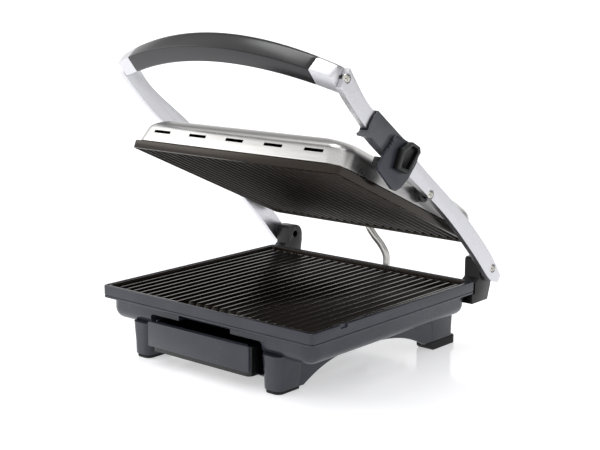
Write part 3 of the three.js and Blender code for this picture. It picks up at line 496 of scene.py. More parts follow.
def centred_row(tree, given):
    """A row of points along X, centred on the origin, from the inputs Count and Pitch."""
    gaps = add(tree, "ShaderNodeMath", {0: given["Count"], 1: 1.0}, operation="SUBTRACT")
    back = add(tree, "ShaderNodeMath", {0: gaps, 1: -0.5}, operation="MULTIPLY")
    first = add(tree, "ShaderNodeMath", {0: given["Pitch"], 1: back}, operation="MULTIPLY")
    start = add(tree, "ShaderNodeCombineXYZ", {"X": first})
    step = add(tree, "ShaderNodeCombineXYZ", {"X": given["Pitch"]})
    return add(tree, "GeometryNodeMeshLine",
               {"Count": given["Count"], "Start Location": start, "Offset": step})


def finish_tree(tree, given, copies):
    """Makes the instances real, paints them and hands them out."""
    real = add(tree, "GeometryNodeRealizeInstances", {"Geometry": copies})
    painted = add(tree, "GeometryNodeSetMaterial",
                  {"Geometry": real, "Material": given["Material"]})
    add(tree, "NodeGroupOutput", {0: painted})
    return tree


def grown(name, tree, points=(), **inputs):
    """Runs a tree on some points with the given inputs and returns the result as plain mesh."""
    obj = mesh_object(name, points, [])
    modifier = obj.modifiers.new("grow", "NODES")
    modifier.node_group = tree
    for item in tree.interface.items_tree:
        key = item.name.replace(" ", "_")
        if item.in_out == "INPUT" and key in inputs:
            modifier[item.identifier] = inputs[key]
    return bake(obj)


# %% [markdown]
# ## Ribs
# Twenty-five parallel ribs run from front to back on both plates. A rib is a line that carries a
# trapezium along it, open underneath where it stands on the plate. Near both ends the line's
# radius shrinks, which gives the rounded noses that a casting needs to leave its mould. One rib
# then stands on each point of a row. Ribs that meet the spout are made shorter.

# %% One rib
RIB_CORNERS = [(-1, "Root width", 0.0), (-1, "Crest width", 0.8), (-0.62, "Crest width", 1.0),
               (0.62, "Crest width", 1.0), (1, "Crest width", 0.8), (1, "Root width", 0.0)]


def rib_line(tree, given):
    """The line under a rib, with a radius that falls to nearly nothing at the rounded noses."""
    half = add(tree, "ShaderNodeMath", {0: given["Length"], 1: 0.5}, operation="MULTIPLY")
    front = add(tree, "ShaderNodeMath", {0: half, 1: -1.0}, operation="MULTIPLY")
    line = add(tree, "GeometryNodeCurvePrimitiveLine",
               {"Start": add(tree, "ShaderNodeCombineXYZ", {"Y": front}),
                "End": add(tree, "ShaderNodeCombineXYZ", {"Y": half})})
    fine_line = add(tree, "GeometryNodeResampleCurve", {"Curve": line}, Count=61)
    here = add(tree, "ShaderNodeSeparateXYZ", {0: add(tree, "GeometryNodeInputPosition")})
    off_middle = add(tree, "ShaderNodeMath", {0: here.outputs["Y"]}, operation="ABSOLUTE")
    from_end = add(tree, "ShaderNodeMath", {0: half, 1: off_middle}, operation="SUBTRACT")
    noses = add(tree, "ShaderNodeMath", {0: from_end, 1: given["Nose"]}, operation="DIVIDE")
    share = add(tree, "ShaderNodeMath", {0: noses, 1: 1.0}, operation="MINIMUM")
    lacking = add(tree, "ShaderNodeMath", {0: 1.0, 1: share}, operation="SUBTRACT")
    squared = add(tree, "ShaderNodeMath", {0: lacking, 1: lacking}, operation="MULTIPLY")
    rest = add(tree, "ShaderNodeMath", {0: 1.0, 1: squared}, operation="SUBTRACT")
    circle = add(tree, "ShaderNodeMath", {0: rest}, operation="SQRT")
    radius = add(tree, "ShaderNodeMath", {0: circle, 1: 0.02}, operation="MAXIMUM")
    return add(tree, "GeometryNodeSetCurveRadius", {"Curve": fine_line, "Radius": radius})


def rib_mesh(tree, given):
    """The rib's trapezium carried along its line."""
    corners = []
    for side, width, level in RIB_CORNERS:
        across = add(tree, "ShaderNodeMath", {0: given[width], 1: side / 2}, operation="MULTIPLY")
        up = add(tree, "ShaderNodeMath", {0: given["Height"], 1: -level}, operation="MULTIPLY")
        corners.append(add(tree, "ShaderNodeCombineXYZ", {"X": across, "Y": up}))
    profile = add(tree, "GeometryNodeJoinGeometry")
    for a, b in zip(corners, corners[1:]):
        edge = add(tree, "GeometryNodeCurvePrimitiveLine", {"Start": a, "End": b})
        tree.links.new(edge.outputs[0], profile.inputs[0])
    rib = add(tree, "GeometryNodeCurveToMesh",
              {"Curve": rib_line(tree, given), "Profile Curve": profile,
               "Scale": add(tree, "GeometryNodeInputRadius")})
    return add(tree, "GeometryNodeMergeByDistance", {"Geometry": rib}, Distance=mm(0.01))


print("a rib has", len(RIB_CORNERS), "corners across")

# %% [markdown]
# The whole tree puts that rib on every point of the row. At the spout a rib loses its front end:
# its point moves back by half of what is lost, and its length is scaled down to match.

# %% The rib tree
def rib_tree():
    """Parallel ribs along Y on the plane z = 0, rising towards +Z."""
    tree, given = new_tree("parallel_ribs", [
        ("Count", "Int", 25), ("Pitch", "Float", mm(12.1)), ("Length", "Float", mm(280)),
        ("Root width", "Float", mm(6.4)), ("Crest width", "Float", mm(3.6)),
        ("Height", "Float", mm(4.2)), ("Nose", "Float", mm(5)),
        ("Spout half width", "Float", 0.0), ("Spout depth", "Float", 0.0)])
    row = centred_row(tree, given)
    here = add(tree, "ShaderNodeSeparateXYZ", {0: add(tree, "GeometryNodeInputPosition")})
    across = add(tree, "ShaderNodeMath", {0: here.outputs["X"]}, operation="ABSOLUTE")
    at_spout = add(tree, "ShaderNodeMath", {0: across, 1: given["Spout half width"]},
                   operation="LESS_THAN")
    lost = add(tree, "ShaderNodeMath", {0: at_spout, 1: given["Spout depth"]},
               operation="MULTIPLY")
    back = add(tree, "ShaderNodeMath", {0: lost, 1: 0.5}, operation="MULTIPLY")
    shift = add(tree, "ShaderNodeCombineXYZ", {"Y": back})
    moved = add(tree, "GeometryNodeSetPosition", {"Geometry": row, "Offset": shift})
    share = add(tree, "ShaderNodeMath", {0: lost, 1: given["Length"]}, operation="DIVIDE")
    shorter = add(tree, "ShaderNodeMath", {0: 1.0, 1: share}, operation="SUBTRACT")
    scale = add(tree, "ShaderNodeCombineXYZ", {"Y": shorter}, X=1.0, Z=1.0)
    many = add(tree, "GeometryNodeInstanceOnPoints",
               {"Points": moved, "Instance": rib_mesh(tree, given), "Scale": scale})
    return finish_tree(tree, given, many)


RIBS = rib_tree()
print("rib tree has", len(RIBS.nodes), "nodes")

# %% [markdown]
# ## The lower plate
# The lower plate is a shallow casting with a low wall all round. At the front, a stretch of the
# wall is lower and has a slot behind it: fat runs down between the ribs, through the slot and
# into the drip tray. The ribs stop short of that spout.

# %% Lower plate
RIB_COUNT = 25
RIB_PITCH = 12.1
RIB_HEIGHT = 4.2
SPOUT_HALF = 39.5
SPOUT_DEPTH = 9.0
LOWER_HALF = (156.5, 145.25)
LOWER_WEB = 69.8
LOWER_RIB_LENGTH = 281.5
RIB_SUNK = 0.05


def lower_plate():
    """The pan of the lower plate, with its spout and slot."""
    half_x, half_y = LOWER_HALF
    profile = [(3.0, 65.8), (0.4, 65.8), (0.0, 66.2), (0.0, 75.7)]
    profile += arc((0.7, 75.7), 0.7, 180, 90, 3) + arc((2.3, 75.7), 0.7, 90, 0, 3)
    profile += [(3.2, 72.0)] + arc((5.4, 72.0), 2.2, 180, 270, 4)
    rings = []
    for inset, z in profile:
        corner = max(4.0 - inset * 0.4, 1.5)
        rings.append(rounded_ring(mm(half_x - inset), mm(half_y - inset), mm(corner), mm(z)))
    pan = loft("lower_plate", rings)
    front = -mm(half_y)
    notch = block("notch", (-mm(SPOUT_HALF), front - mm(1), mm(72.4)),
                  (mm(SPOUT_HALF), front + mm(4), mm(80)))
    carve(pan, notch)
    slot = block("slot", (-mm(SPOUT_HALF - 2), front + mm(4), mm(60)),
                 (mm(SPOUT_HALF - 2), front + mm(10), mm(71)))
    carve(pan, slot)
    return shade(place(pan, BASE_FRAME))


def plate_ribs(name, matrix, length, material, **spout):
    """The ribs of one plate, placed by the matrix."""
    ribs = grown(name, RIBS, Count=RIB_COUNT, Pitch=mm(RIB_PITCH), Length=mm(length),
                 Height=mm(RIB_HEIGHT), Material=material, **spout)
    return shade(place(ribs, matrix), 50)


finish_piece(lower_plate(), "base", COATING, ["lower_grill_plate"])
on_web = BASE_FRAME @ Matrix.Translation((0, 0, mm(LOWER_WEB - RIB_SUNK)))
lower_ribs = plate_ribs("lower_plate_ribs", on_web, LOWER_RIB_LENGTH, COATING,
                        Spout_half_width=mm(SPOUT_HALF), Spout_depth=mm(SPOUT_DEPTH))
finish_piece(lower_ribs, "base", None, ["lower_grill_plate"])

# %% [markdown]
# ## The upper plate
# The upper plate hangs face down. Its wall is a smooth dark band with a small chamfer at each
# corner, and its ribs point down into the gap.

# %% Upper plate
UPPER_W = 308.3
UPPER_D = 277.7
UPPER_H = 9.7
UPPER_WEB = 5.7
UPPER_RIB_SHORT = 9.0


def upper_plate():
    """The upper plate's wall and web, face down, in the upper unit's own place."""
    profile = [(6.0, UPPER_H), (0.5, UPPER_H), (0.0, UPPER_H - 0.5), (0.0, 1.2), (0.35, 0.35),
               (1.2, 0.0), (2.4, 0.0), (2.9, 0.4), (3.1, 1.2), (3.3, 4.6), (4.4, UPPER_WEB)]
    rings = []
    for inset, height in reversed(profile):
        corner = max(5.5 - inset, 2.2)
        rings.append(rounded_ring(mm(UPPER_W / 2 - inset), mm(UPPER_D / 2 - inset), mm(corner),
                                  mm(height), 4))
    return loft("upper_plate", rings)


MIDDLE_OF_UPPER = UPPER_FRAME @ Matrix.Translation((0, -mm(UPPER_D / 2), 0))
upper = shade(place(upper_plate(), MIDDLE_OF_UPPER))
finish_piece(upper, "upper", COATING, ["upper_grill_plate"])
face_down = (Matrix.Translation((0, 0, mm(UPPER_WEB + RIB_SUNK)))
             @ Matrix.Rotation(math.pi, 4, "Y"))
upper_ribs = plate_ribs("upper_plate_ribs", MIDDLE_OF_UPPER @ face_down,
                        UPPER_D - UPPER_RIB_SHORT, MATT_COATING)
finish_piece(upper_ribs, "upper", None, ["upper_grill_plate"])

# %% [markdown]
# ## The steel cover
# A pressed sheet of stainless steel covers the upper unit. Its walls stand almost upright, turn
# over a large soft edge and run on into a gently crowned top. `soft_corner` replaces a corner of
# the profile with a curve, and the upright corners of the cover open out into cones towards the
# top.

# %% The cover's profile
COVER_FOOT = 10.0
COVER_CREASE = (3.6, 32.0)
COVER_EDGE = (15.5, 41.2)
COVER_CROWN = 3.5
CREASE_REACH = 5.5
EDGE_REACH = 6.0
CROWN_RUN = 85.0
COVER_CORNER = 19.0
CORNER_OPENS = 0.45
CORNER_OPENS_BY = 14.0
SHEET = 1.2


def soft_corner(before, corner, after, reach, steps=5):
    """A curve that replaces a corner, starting and ending `reach` away from it."""
    def towards(point):
        gap = math.hypot(point[0] - corner[0], point[1] - corner[1])
        return [corner[k] + (point[k] - corner[k]) * reach / gap for k in (0, 1)]
    first, last = towards(before), towards(after)
    made = []
    for i in range(steps + 1):
        t = i / steps
        made.append(tuple((1 - t) ** 2 * first[k] + 2 * t * (1 - t) * corner[k] + t * t * last[k]
                          for k in (0, 1)))
    return made


def cover_profile(grow):
    """The cover's wall from foot to top as (inset, height) pairs, moved inwards by `grow`."""
    foot = (0.0, COVER_FOOT + 0.3)
    top = (COVER_EDGE[0] + 20, COVER_EDGE[1] + COVER_CROWN * 0.4)
    points = [foot, (0.15, foot[1] + 2.0)]
    points += soft_corner((0.0, foot[1]), COVER_CREASE, COVER_EDGE, CREASE_REACH)
    points += soft_corner(COVER_CREASE, COVER_EDGE, top, EDGE_REACH)
    for share in (0.4, 0.6, 0.8, 1.0):
        inset = COVER_EDGE[0] + CROWN_RUN * share
        points.append((inset, COVER_EDGE[1] + COVER_CROWN * (1 - (1 - share) ** 2)))
    return [(inset + grow, height - (grow if height > 20 else 0)) for inset, height in points]


def cover_ring(inset, height):
    """One ring of the cover. Its corners open out as the wall leans in."""
    radius = COVER_CORNER + min(CORNER_OPENS * inset, CORNER_OPENS_BY)
    return rounded_ring(mm(UPPER_W / 2 - inset), mm(UPPER_D / 2 - inset), mm(radius), mm(height),
                        10)


def rod(name, radius, start, end, sides=40):
    """A closed cylinder between two points, used to cut holes."""
    axis = (Vector(end) - Vector(start)).normalized()
    turn = axis.to_track_quat("Z", "Y").to_matrix()
    rings = []
    around = [2 * math.pi * i / sides for i in range(sides)]
    for centre in (start, end):
        rings.append([Vector(centre) + turn @ Vector((math.cos(a), math.sin(a), 0)) * radius
                      for a in around])
    return loft(name, rings)


print("the cover's wall has", len(cover_profile(0)), "rings")

# %% [markdown]
# Five slots in the front wall let the heat out. They are alike and evenly spaced, so a second
# small Geometry Nodes tree makes the five blocks that punch them out.

# %% Vent slots
def slot_tree():
    """A row of blocks along X, centred on the origin."""
    tree, given = new_tree("row_of_blocks", [
        ("Count", "Int", 5), ("Pitch", "Float", mm(56.7)),
        ("Block", "Vector", (mm(24), mm(20), mm(3)))])
    punch = add(tree, "GeometryNodeMeshCube", {"Size": given["Block"]})
    many = add(tree, "GeometryNodeInstanceOnPoints",
               {"Points": centred_row(tree, given), "Instance": punch})
    return finish_tree(tree, given, many)


BLOCKS = slot_tree()
print("slot tree has", len(BLOCKS.nodes), "nodes")

# %% [markdown]
# The cover also has a hole on each side for the axle it tilts on, and one in the back wall for
# the sheath that brings the wires. All of them are carved out of the finished shell.

# %% The pressed cover
VENT_COUNT = 5
VENT_PITCH = 56.7
VENT_SIZE = (26, 16, 3.6)
VENT_LEVEL = 22.8
AXLE_BEHIND = 128.35
AXLE_LEVEL = 24.67
AXLE_HOLE_R = 10.2
SHEATH_IN = (-14, 19.3)
SHEATH_HOLE_R = 8.1


def steel_cover():
    """The pressed cover with its slots, its two axle holes and the hole for the wire sheath."""
    inner = [cover_ring(*p) for p in reversed(cover_profile(SHEET))]
    outer = [cover_ring(*p) for p in cover_profile(0)]
    cover = loft("steel_cover", inner + outer)
    punch = grown("vent_punch", BLOCKS, Count=VENT_COUNT, Pitch=mm(VENT_PITCH),
                  Block=[mm(v) for v in VENT_SIZE], Material=STAINLESS)
    place(punch, Matrix.Translation((0, -mm(UPPER_D / 2), mm(VENT_LEVEL))))
    carve(cover, punch)
    axle_y = mm(UPPER_D / 2 - AXLE_BEHIND)
    carve(cover, rod("axle_hole", mm(AXLE_HOLE_R), (-0.2, axle_y, mm(AXLE_LEVEL)),
                     (0.2, axle_y, mm(AXLE_LEVEL))))
    x, level = SHEATH_IN
    carve(cover, rod("sheath_hole", mm(SHEATH_HOLE_R), (mm(x), mm(UPPER_D / 2 - 14), mm(level)),
                     (mm(x), mm(UPPER_D / 2 + 14), mm(level))))
    return shade(place(cover, MIDDLE_OF_UPPER), 28)


finish_piece(steel_cover(), "upper", STAINLESS, ["upper_cover"])

# %% [markdown]
# ## The housing
# The housing is one deep moulding. A profile carried round the rim gives its outside and inside:
# the rim band with a fine parting groove, a step in to the tub, and a large radius underneath.
# Then the tunnel for the drip tray and the low gate for the spout are cut out of it.

# %% Housing
TUNNEL_HALF = 85.0
TUNNEL_TOP = 54.0
TUNNEL_BACK = 58.0
TUNNEL_LINING = 3.0
GATE_TOP = 59.8
LATCH_NOTCH = (-103.0, -92.0)


def housing_profile():
    """(inset, height, corner radius) from the outside of the floor to the inside of the floor."""
    outside = [(i, z, 22 - i) for i, z in arc((19, 51), 13, 270, 180, 7)]
    outside += [(6, 59.6, 16), (5.6, 61.2, 15), (4.6, 61.9, 11), (0.9, 62.1, 6), (0.2, 62.5, 5),
                (0, 63.1, 5), (0, 64.5, 5), (0.8, 64.9, 5), (0.8, 65.5, 5), (0, 65.9, 5)]
    rim = [(i, z, 5) for i, z in arc((1.0, 76.0), 1.0, 180, 90, 3)]
    rim += [(2.6, 77, 4), (3.1, 76.7, 3), (3.2, 76.2, 2.5), (3.2, 65.2, 2.5), (9, 64.8, 2.5)]
    inside = [(9, 53, 12), (10.5, 46, 10), (15, 41.8, 8), (20, 41, 5)]
    return outside + rim + inside


def rounded_gate(name, half, bottom, top, radius, y0, y1):
    """A block with rounded upper corners, running along Y, in millimetres."""
    outline = [(-half, bottom)] + arc((-half + radius, top - radius), radius, 180, 90, 4)
    outline += arc((half - radius, top - radius), radius, 90, 0, 4) + [(half, bottom)]
    rings = [[Vector((mm(x), mm(y), mm(z))) for x, z in outline] for y in (y1, y0)]
    return loft(name, rings)


def housing():
    """The housing with its tray tunnel and spout gate."""
    rings = [rounded_ring(RIM_HALF_X - mm(i), RIM_HALF_Y - mm(i), mm(r), mm(z), 8)
             for i, z, r in housing_profile()]
    shell = loft("housing", rings)
    front = -RIM_HALF_Y / mm(1)
    lined = TUNNEL_HALF + TUNNEL_LINING
    lining = block("lining", (mm(-lined), mm(front + 9), mm(38.5)),
                   (mm(lined), mm(TUNNEL_BACK + TUNNEL_LINING), mm(TUNNEL_TOP + 2.5)))
    carve(shell, lining, "UNION")
    carve(shell, rounded_gate("tunnel", TUNNEL_HALF, 20, TUNNEL_TOP, 4, front - 20, TUNNEL_BACK))
    carve(shell, rounded_gate("gate", SPOUT_HALF, 40, GATE_TOP, 1.5, front - 20, front + 18))
    notch = block("latch_notch", (RIM_HALF_X - mm(2), mm(LATCH_NOTCH[0]), RIM_TOP - mm(4)),
                  (RIM_HALF_X + mm(5), mm(LATCH_NOTCH[1]), RIM_TOP + mm(5)))
    carve(shell, notch)
    return shade(place(shell, BASE_FRAME), 28)


finish_piece(housing(), "base", POLYAMIDE, ["base_housing"])

# %% [markdown]
# Four legs carry the tub. Each is a short rounded column whose sides splay a little towards the
# tub, so it is a few rings that move to their place. The front legs stand on thin pads and the
# rear ones in taller rubber feet, which the CAD model already has.

# %% Legs
FRONT_LEG = Vector((mm(99.5), mm(-125.5), 0))
REAR_LEG = Vector((mm(127), mm(113.5), 0))
FRONT_PAD_TOP = 3.3
REAR_FOOT_TOP = 10.1


def front_leg(side):
    """A front leg: a rounded column that widens a little towards the tub."""
    rings = []
    for z, grow in [(FRONT_PAD_TOP, -1.4), (3.8, -0.4), (5, 0), (18, 0.3), (30, 1.0), (42, 1.6)]:
        ring = rounded_ring(mm(12.5 + grow), mm(20 + grow), mm(8 + grow * 0.5), mm(z), 6)
        rings.append([p + Vector((side * FRONT_LEG.x, FRONT_LEG.y, 0)) for p in ring])
    return loft("leg", rings)


def rear_leg(side):
    """A rear leg above its rubber foot."""
    rings = []
    for z, grow in [(REAR_FOOT_TOP, -0.6), (10.7, 0), (24, 0.2), (42, 0.8)]:
        ring = rounded_ring(mm(11 + grow), mm(23.5 + grow), mm(6), mm(z), 6)
        rings.append([p + Vector((side * REAR_LEG.x, REAR_LEG.y, 0)) for p in ring])
    return loft("leg", rings)


print("legs are", round(2 * FRONT_LEG.x, 3), "m apart at the front")

# %% [markdown]
# Between the legs a thin skirt runs along each side. Its lower edge is a long arch, flat in the
# middle and steeper towards the feet, which a single power law draws well.

# %% Skirts
SKIRT_LINE = [(112, -112), (119, -66), (128, 0), (135.5, 66), (138, 100), (138, 112)]
SKIRT_STEPS = 80
SKIRT_T = 4
ARCH_MIDDLE = -8.0
ARCH_HALF = 103.0
ARCH_HEIGHT = 30.4
ARCH_POWER = 2.6


def along(points, share):
    """A point on a smooth curve through the given points, for a share from 0 to 1."""
    spans = len(points) - 1
    at = min(share * spans, spans - 1e-9)
    i = int(at)
    t = at - i
    p = [points[max(i - 1, 0)], points[i], points[i + 1], points[min(i + 2, spans)]]
    return tuple(0.5 * (2 * p[1][k] + (p[2][k] - p[0][k]) * t
                        + (2 * p[0][k] - 5 * p[1][k] + 4 * p[2][k] - p[3][k]) * t ** 2
                        + (3 * p[1][k] - p[0][k] - 3 * p[2][k] + p[3][k]) * t ** 3)
                 for k in range(len(points[0])))


def arch_height(y):
    """Height of the skirt's lower edge at y."""
    share = min(abs(y - ARCH_MIDDLE) / ARCH_HALF, 1.0)
    lowest = FRONT_PAD_TOP if y < 60 else REAR_FOOT_TOP
    return max(ARCH_HEIGHT * (1 - share ** ARCH_POWER), lowest)


def skirt(side):
    """One side's skirt, a thin wall with an arched lower edge."""
    rings = []
    for i in range(SKIRT_STEPS + 1):
        x, y = along(SKIRT_LINE, i / SKIRT_STEPS)
        low = arch_height(y)
        corners = [(x, 42), (x - SKIRT_T, 42), (x - SKIRT_T, low + 0.5), (x - 3.4, low),
                   (x - 0.9, low), (x, low + 0.9)]
        if side < 0:
            corners = [(-px, pz) for px, pz in reversed(corners)]
        rings.append([Vector((mm(px), mm(y), mm(pz))) for px, pz in corners])
    return loft("skirt", rings)


under_tub = [shape(side) for side in (1, -1) for shape in (front_leg, rear_leg, skirt)]
legs = shade(place(join_meshes("housing_legs", under_tub), BASE_FRAME), 40)
finish_piece(legs, "base", POLYAMIDE, ["base_housing"])

# %% [markdown]
# ## The arms
# Each arm is a flat casting with an S-shaped outline. The CAD arm has that outline as a chain of
# straight edges, and typing it again here would only invite mistakes. So `outline_of` walks round
# the outer face of a CAD piece and returns that chain.

# %% The arm's outline
def outline_of(node):
    """The longest loop round the outer side face of a CAD node, as (y, z) pairs in metres."""
    flat = bmesh.new()
    flat.from_mesh(nodes[node].data)
    bmesh.ops.remove_doubles(flat, verts=flat.verts, dist=mm(0.01))
    flat.normal_update()
    side = {f for f in flat.faces if f.normal.x > 0.9}
    rim = [e for e in flat.edges if sum(f in side for f in e.link_faces) == 1]
    loops = []
    left = list(rim)
    while left:
        edge = left.pop(0)
        chain = [edge.verts[0], edge.verts[1]]
        while chain[-1] is not chain[0]:
            following = [e for e in chain[-1].link_edges if e in left]
            if not following:
                break
            left.remove(following[0])
            chain.append(following[0].other_vert(chain[-1]))
        loops.append([(v.co.y, v.co.z) for v in chain[:-1]])
    flat.free()
    return max(loops, key=len)


print("the arm's outline has", len(outline_of("right_arm")), "corners")

# %% [markdown]
# Straight edges would show as facets in the metal. `smoothed` runs a curve through the chain's
# corners and leaves the sharp ones, such as the arm's square end, as they are.

# %% Smooth outlines
def turn_at(points, i):
    """How much a closed outline turns at point i, in degrees."""
    a, b, c = points[i - 1], points[i], points[(i + 1) % len(points)]
    one = math.atan2(b[1] - a[1], b[0] - a[0])
    two = math.atan2(c[1] - b[1], c[0] - b[0])
    return math.degrees((two - one + math.pi) % (2 * math.pi) - math.pi)


def smoothed(points, steps=5, corner=38):
    """A closed outline with curves between its points. Corners sharper than `corner` stay."""
    count = len(points)
    sharp = [abs(turn_at(points, i)) > corner for i in range(count)]
    made = []
    for i in range(count):
        p1, p2 = points[i], points[(i + 1) % count]
        p0 = p1 if sharp[i] else points[i - 1]
        p3 = p2 if sharp[(i + 1) % count] else points[(i + 2) % count]
        length = math.dist(p1, p2)
        before = max(math.dist(p0, p1), 1e-6)
        after = max(math.dist(p2, p3), 1e-6)
        start = [(p2[k] - p0[k]) / (length + before) * length for k in (0, 1)]
        end = [(p3[k] - p1[k]) / (length + after) * length for k in (0, 1)]
        if sharp[i]:
            start = [p2[k] - p1[k] for k in (0, 1)]
        if sharp[(i + 1) % count]:
            end = [p2[k] - p1[k] for k in (0, 1)]
        for j in range(steps):
            t = j / steps
            made.append(tuple(
                (2 * t ** 3 - 3 * t ** 2 + 1) * p1[k] + (t ** 3 - 2 * t ** 2 + t) * start[k]
                + (3 * t ** 2 - 2 * t ** 3) * p2[k] + (t ** 3 - t ** 2) * end[k] for k in (0, 1)))
    return made


def plate_of(name, outline, x0, x1):
    """A flat plate with a (y, z) outline between two x positions, in metres."""
    area = sum(a[0] * b[1] - b[0] * a[1] for a, b in zip(outline, outline[1:] + outline[:1]))
    ordered = outline if area > 0 else outline[::-1]
    return loft(name, [[Vector((x, y, z)) for y, z in ordered] for x in (x0, x1)])


# %% [markdown]
# The arms lean towards each other at the top. So each is built upright as a flat plate, sheared
# sideways by its toe-in, and then gets a shallow counterbore for every screw. The left arm is the
# right one mirrored.

# %% Arms
ARM_OUTER = 170.0
ARM_T = 7.0
TOE_IN = 5.5 / 270
TOE_DATUM = MIDDLE_Y + mm(160)
CORNER_SCREW = Vector((MIDDLE_X, MIDDLE_Y - mm(101), mm(331.4)))
BORE_R = 5.4
BORE_DEPTH = 1.4


def arm_face(y):
    """Distance of the arm's outer face from the middle, at y in metres."""
    return mm(ARM_OUTER) - TOE_IN * (TOE_DATUM - y)


def mirror_piece(obj):
    """Turns a right-hand piece into a left-hand one."""
    place(obj, Matrix.Translation((MIDDLE_X, 0, 0)) @ Matrix.Scale(-1, 4, (1, 0, 0))
          @ Matrix.Translation((-MIDDLE_X, 0, 0)))
    obj.data.flip_normals()
    return obj


def arm(side):
    """One arm with rounded rims and counterbores."""
    outer = MIDDLE_X + mm(ARM_OUTER)
    made = plate_of(f"{side}_side_arm", smoothed(outline_of("right_arm"), 2), outer - mm(ARM_T),
                    outer)
    rounded_edges(made, 2.8, 5, 60)
    toe_in = Matrix.Identity(4)
    toe_in[0][1] = TOE_IN
    toe_in[0][3] = -TOE_IN * TOE_DATUM
    place(made, toe_in)
    for centre in (HINGE, PIVOT, CORNER_SCREW):
        face = MIDDLE_X + arm_face(centre.y)
        carve(made, rod("bore", mm(BORE_R), (face - mm(BORE_DEPTH), centre.y, centre.z),
                        (face + mm(5), centre.y, centre.z)))
    if side == "left":
        mirror_piece(made)
    return shade(made, 35)


for side in ("right", "left"):
    finish_piece(arm(side), "handle", CAST_ALLOY, [f"{side}_arm"])

# %% [markdown]
# ## The grip
# The grip bows outwards between the two arms. Its section has a crisp edge at the front and a
# wide soft round at the back, and the same section runs on into the metal corner blocks. `swept`
# carries the section along the bow.

# %% Grip and corner blocks
GRIP_INNER = arm_face(CORNER_SCREW.y) / mm(1) - ARM_T
CORNER_BLOCK = 24.7
GRIP_SEAM = GRIP_INNER - CORNER_BLOCK
GRIP_BOW = 39.5
GRIP_END_OUT = 6.7
GRIP_ANGLE = math.radians(51)
GRIP_E = 28.0
GRIP_E_END = 22.5
GRIP_D = 23.5
GRIP_CREASE = (-114.5, 327.4)


def grip_section(width, shrink=0.0):
    """The section as (across, outward) pairs in millimetres, with rounded corners."""
    e, d = width / 2 - shrink, GRIP_D / 2 - shrink
    points = arc((-e + 4, -d + 4), 4, 180, 270, 5)
    points += arc((e - 4, -d + 4), 4, 270, 360, 5)
    points += arc((e - 9, d - 9), 9, 0, 90, 9)
    points += arc((-e + 1.3, d - 1.3), 1.3, 90, 180, 4)
    return points


def swept(name, x0, x1, steps, shrinks):
    """The grip's section carried along the bow. `shrinks` gives the rounding at both ends."""
    stations = [(x0 + (x1 - x0) * i / steps, 0.0) for i in range(steps + 1)]
    stations = [(x0, shrinks[0]), (x0 + 0.25, shrinks[0] / 3)] + stations[1:-1] + [
        (x1 - 0.25, shrinks[1] / 3), (x1, shrinks[1])]
    rings = []
    for x, shrink in stations:
        fall = (GRIP_BOW - GRIP_END_OUT) * (x / GRIP_INNER) ** 2
        out = GRIP_BOW - fall - GRIP_D / 2
        width = GRIP_E - (GRIP_E - GRIP_E_END) * (x / GRIP_INNER) ** 2
        cy = GRIP_CREASE[0] - math.cos(GRIP_ANGLE) * out + math.sin(GRIP_ANGLE) * width / 2
        cz = GRIP_CREASE[1] + math.sin(GRIP_ANGLE) * out + math.cos(GRIP_ANGLE) * width / 2
        ring = []
        for e, d in grip_section(width, shrink):
            y = cy + e * math.sin(GRIP_ANGLE) - d * math.cos(GRIP_ANGLE)
            z = cz + e * math.cos(GRIP_ANGLE) + d * math.sin(GRIP_ANGLE)
            ring.append(from_base(x, y, z))
        rings.append(ring)
    return loft(name, rings)


grip = shade(swept("grip_shell", -GRIP_SEAM + 0.3, GRIP_SEAM - 0.3, 56, (0.5, 0.5)), 40)
finish_piece(grip, "handle", GRIP_PLASTIC, ["handle_grip"])
for side in ("right", "left"):
    corner_block = swept(f"{side}_corner_block", GRIP_SEAM, GRIP_INNER - 0.5, 8, (0.5, 0.4))
    if side == "left":
        mirror_piece(corner_block)
    shade(corner_block, 40)
    finish_piece(corner_block, "handle", CAST_ALLOY, [f"{side}_grip_corner"])

# %% [markdown]
# ## Screws
# Six domed screws with a cross recess hold the handle. One Geometry Nodes tree builds the head
# and puts it on every point of a small mesh, turned by a named input.

# %% Screws
def screw_tree():
    """Domed heads with a cross recess on every point of the incoming mesh."""
    tree, given = new_tree("domed_screws", [
        ("Radius", "Float", mm(4.6)), ("Height", "Float", mm(1.9)),
        ("Turn", "Vector", (0.0, 0.0, 0.0))], takes_points=True)
    ball = add(tree, "GeometryNodeMeshUVSphere", Segments=32, Rings=16, Radius=1.0)
    size = add(tree, "ShaderNodeCombineXYZ",
               {"X": given["Radius"], "Y": given["Radius"], "Z": given["Height"]})
    head = add(tree, "GeometryNodeTransform", {"Geometry": ball, "Scale": size})
    up = add(tree, "ShaderNodeCombineXYZ", {"Z": given["Height"]})
    for wide, long in [(0.24, 1.15), (1.15, 0.24)]:
        x = add(tree, "ShaderNodeMath", {0: given["Radius"], 1: wide}, operation="MULTIPLY")
        y = add(tree, "ShaderNodeMath", {0: given["Radius"], 1: long}, operation="MULTIPLY")
        sides = add(tree, "ShaderNodeCombineXYZ", {"X": x, "Y": y, "Z": given["Height"]})
        bar = add(tree, "GeometryNodeMeshCube", {"Size": sides})
        raised = add(tree, "GeometryNodeTransform", {"Geometry": bar, "Translation": up})
        head = add(tree, "GeometryNodeMeshBoolean", {0: head, 1: raised},
                   operation="DIFFERENCE")
    turn = add(tree, "FunctionNodeEulerToRotation", {0: given["Turn"]})
    many = add(tree, "GeometryNodeInstanceOnPoints",
               {"Points": given["Geometry"], "Instance": head, "Rotation": turn})
    return finish_tree(tree, given, many)


SCREWS = screw_tree()
HEAD_R = 4.6
HEAD_H = 2.6
HEAD_SUNK = 1.7
CROSS_TURN = 0.35


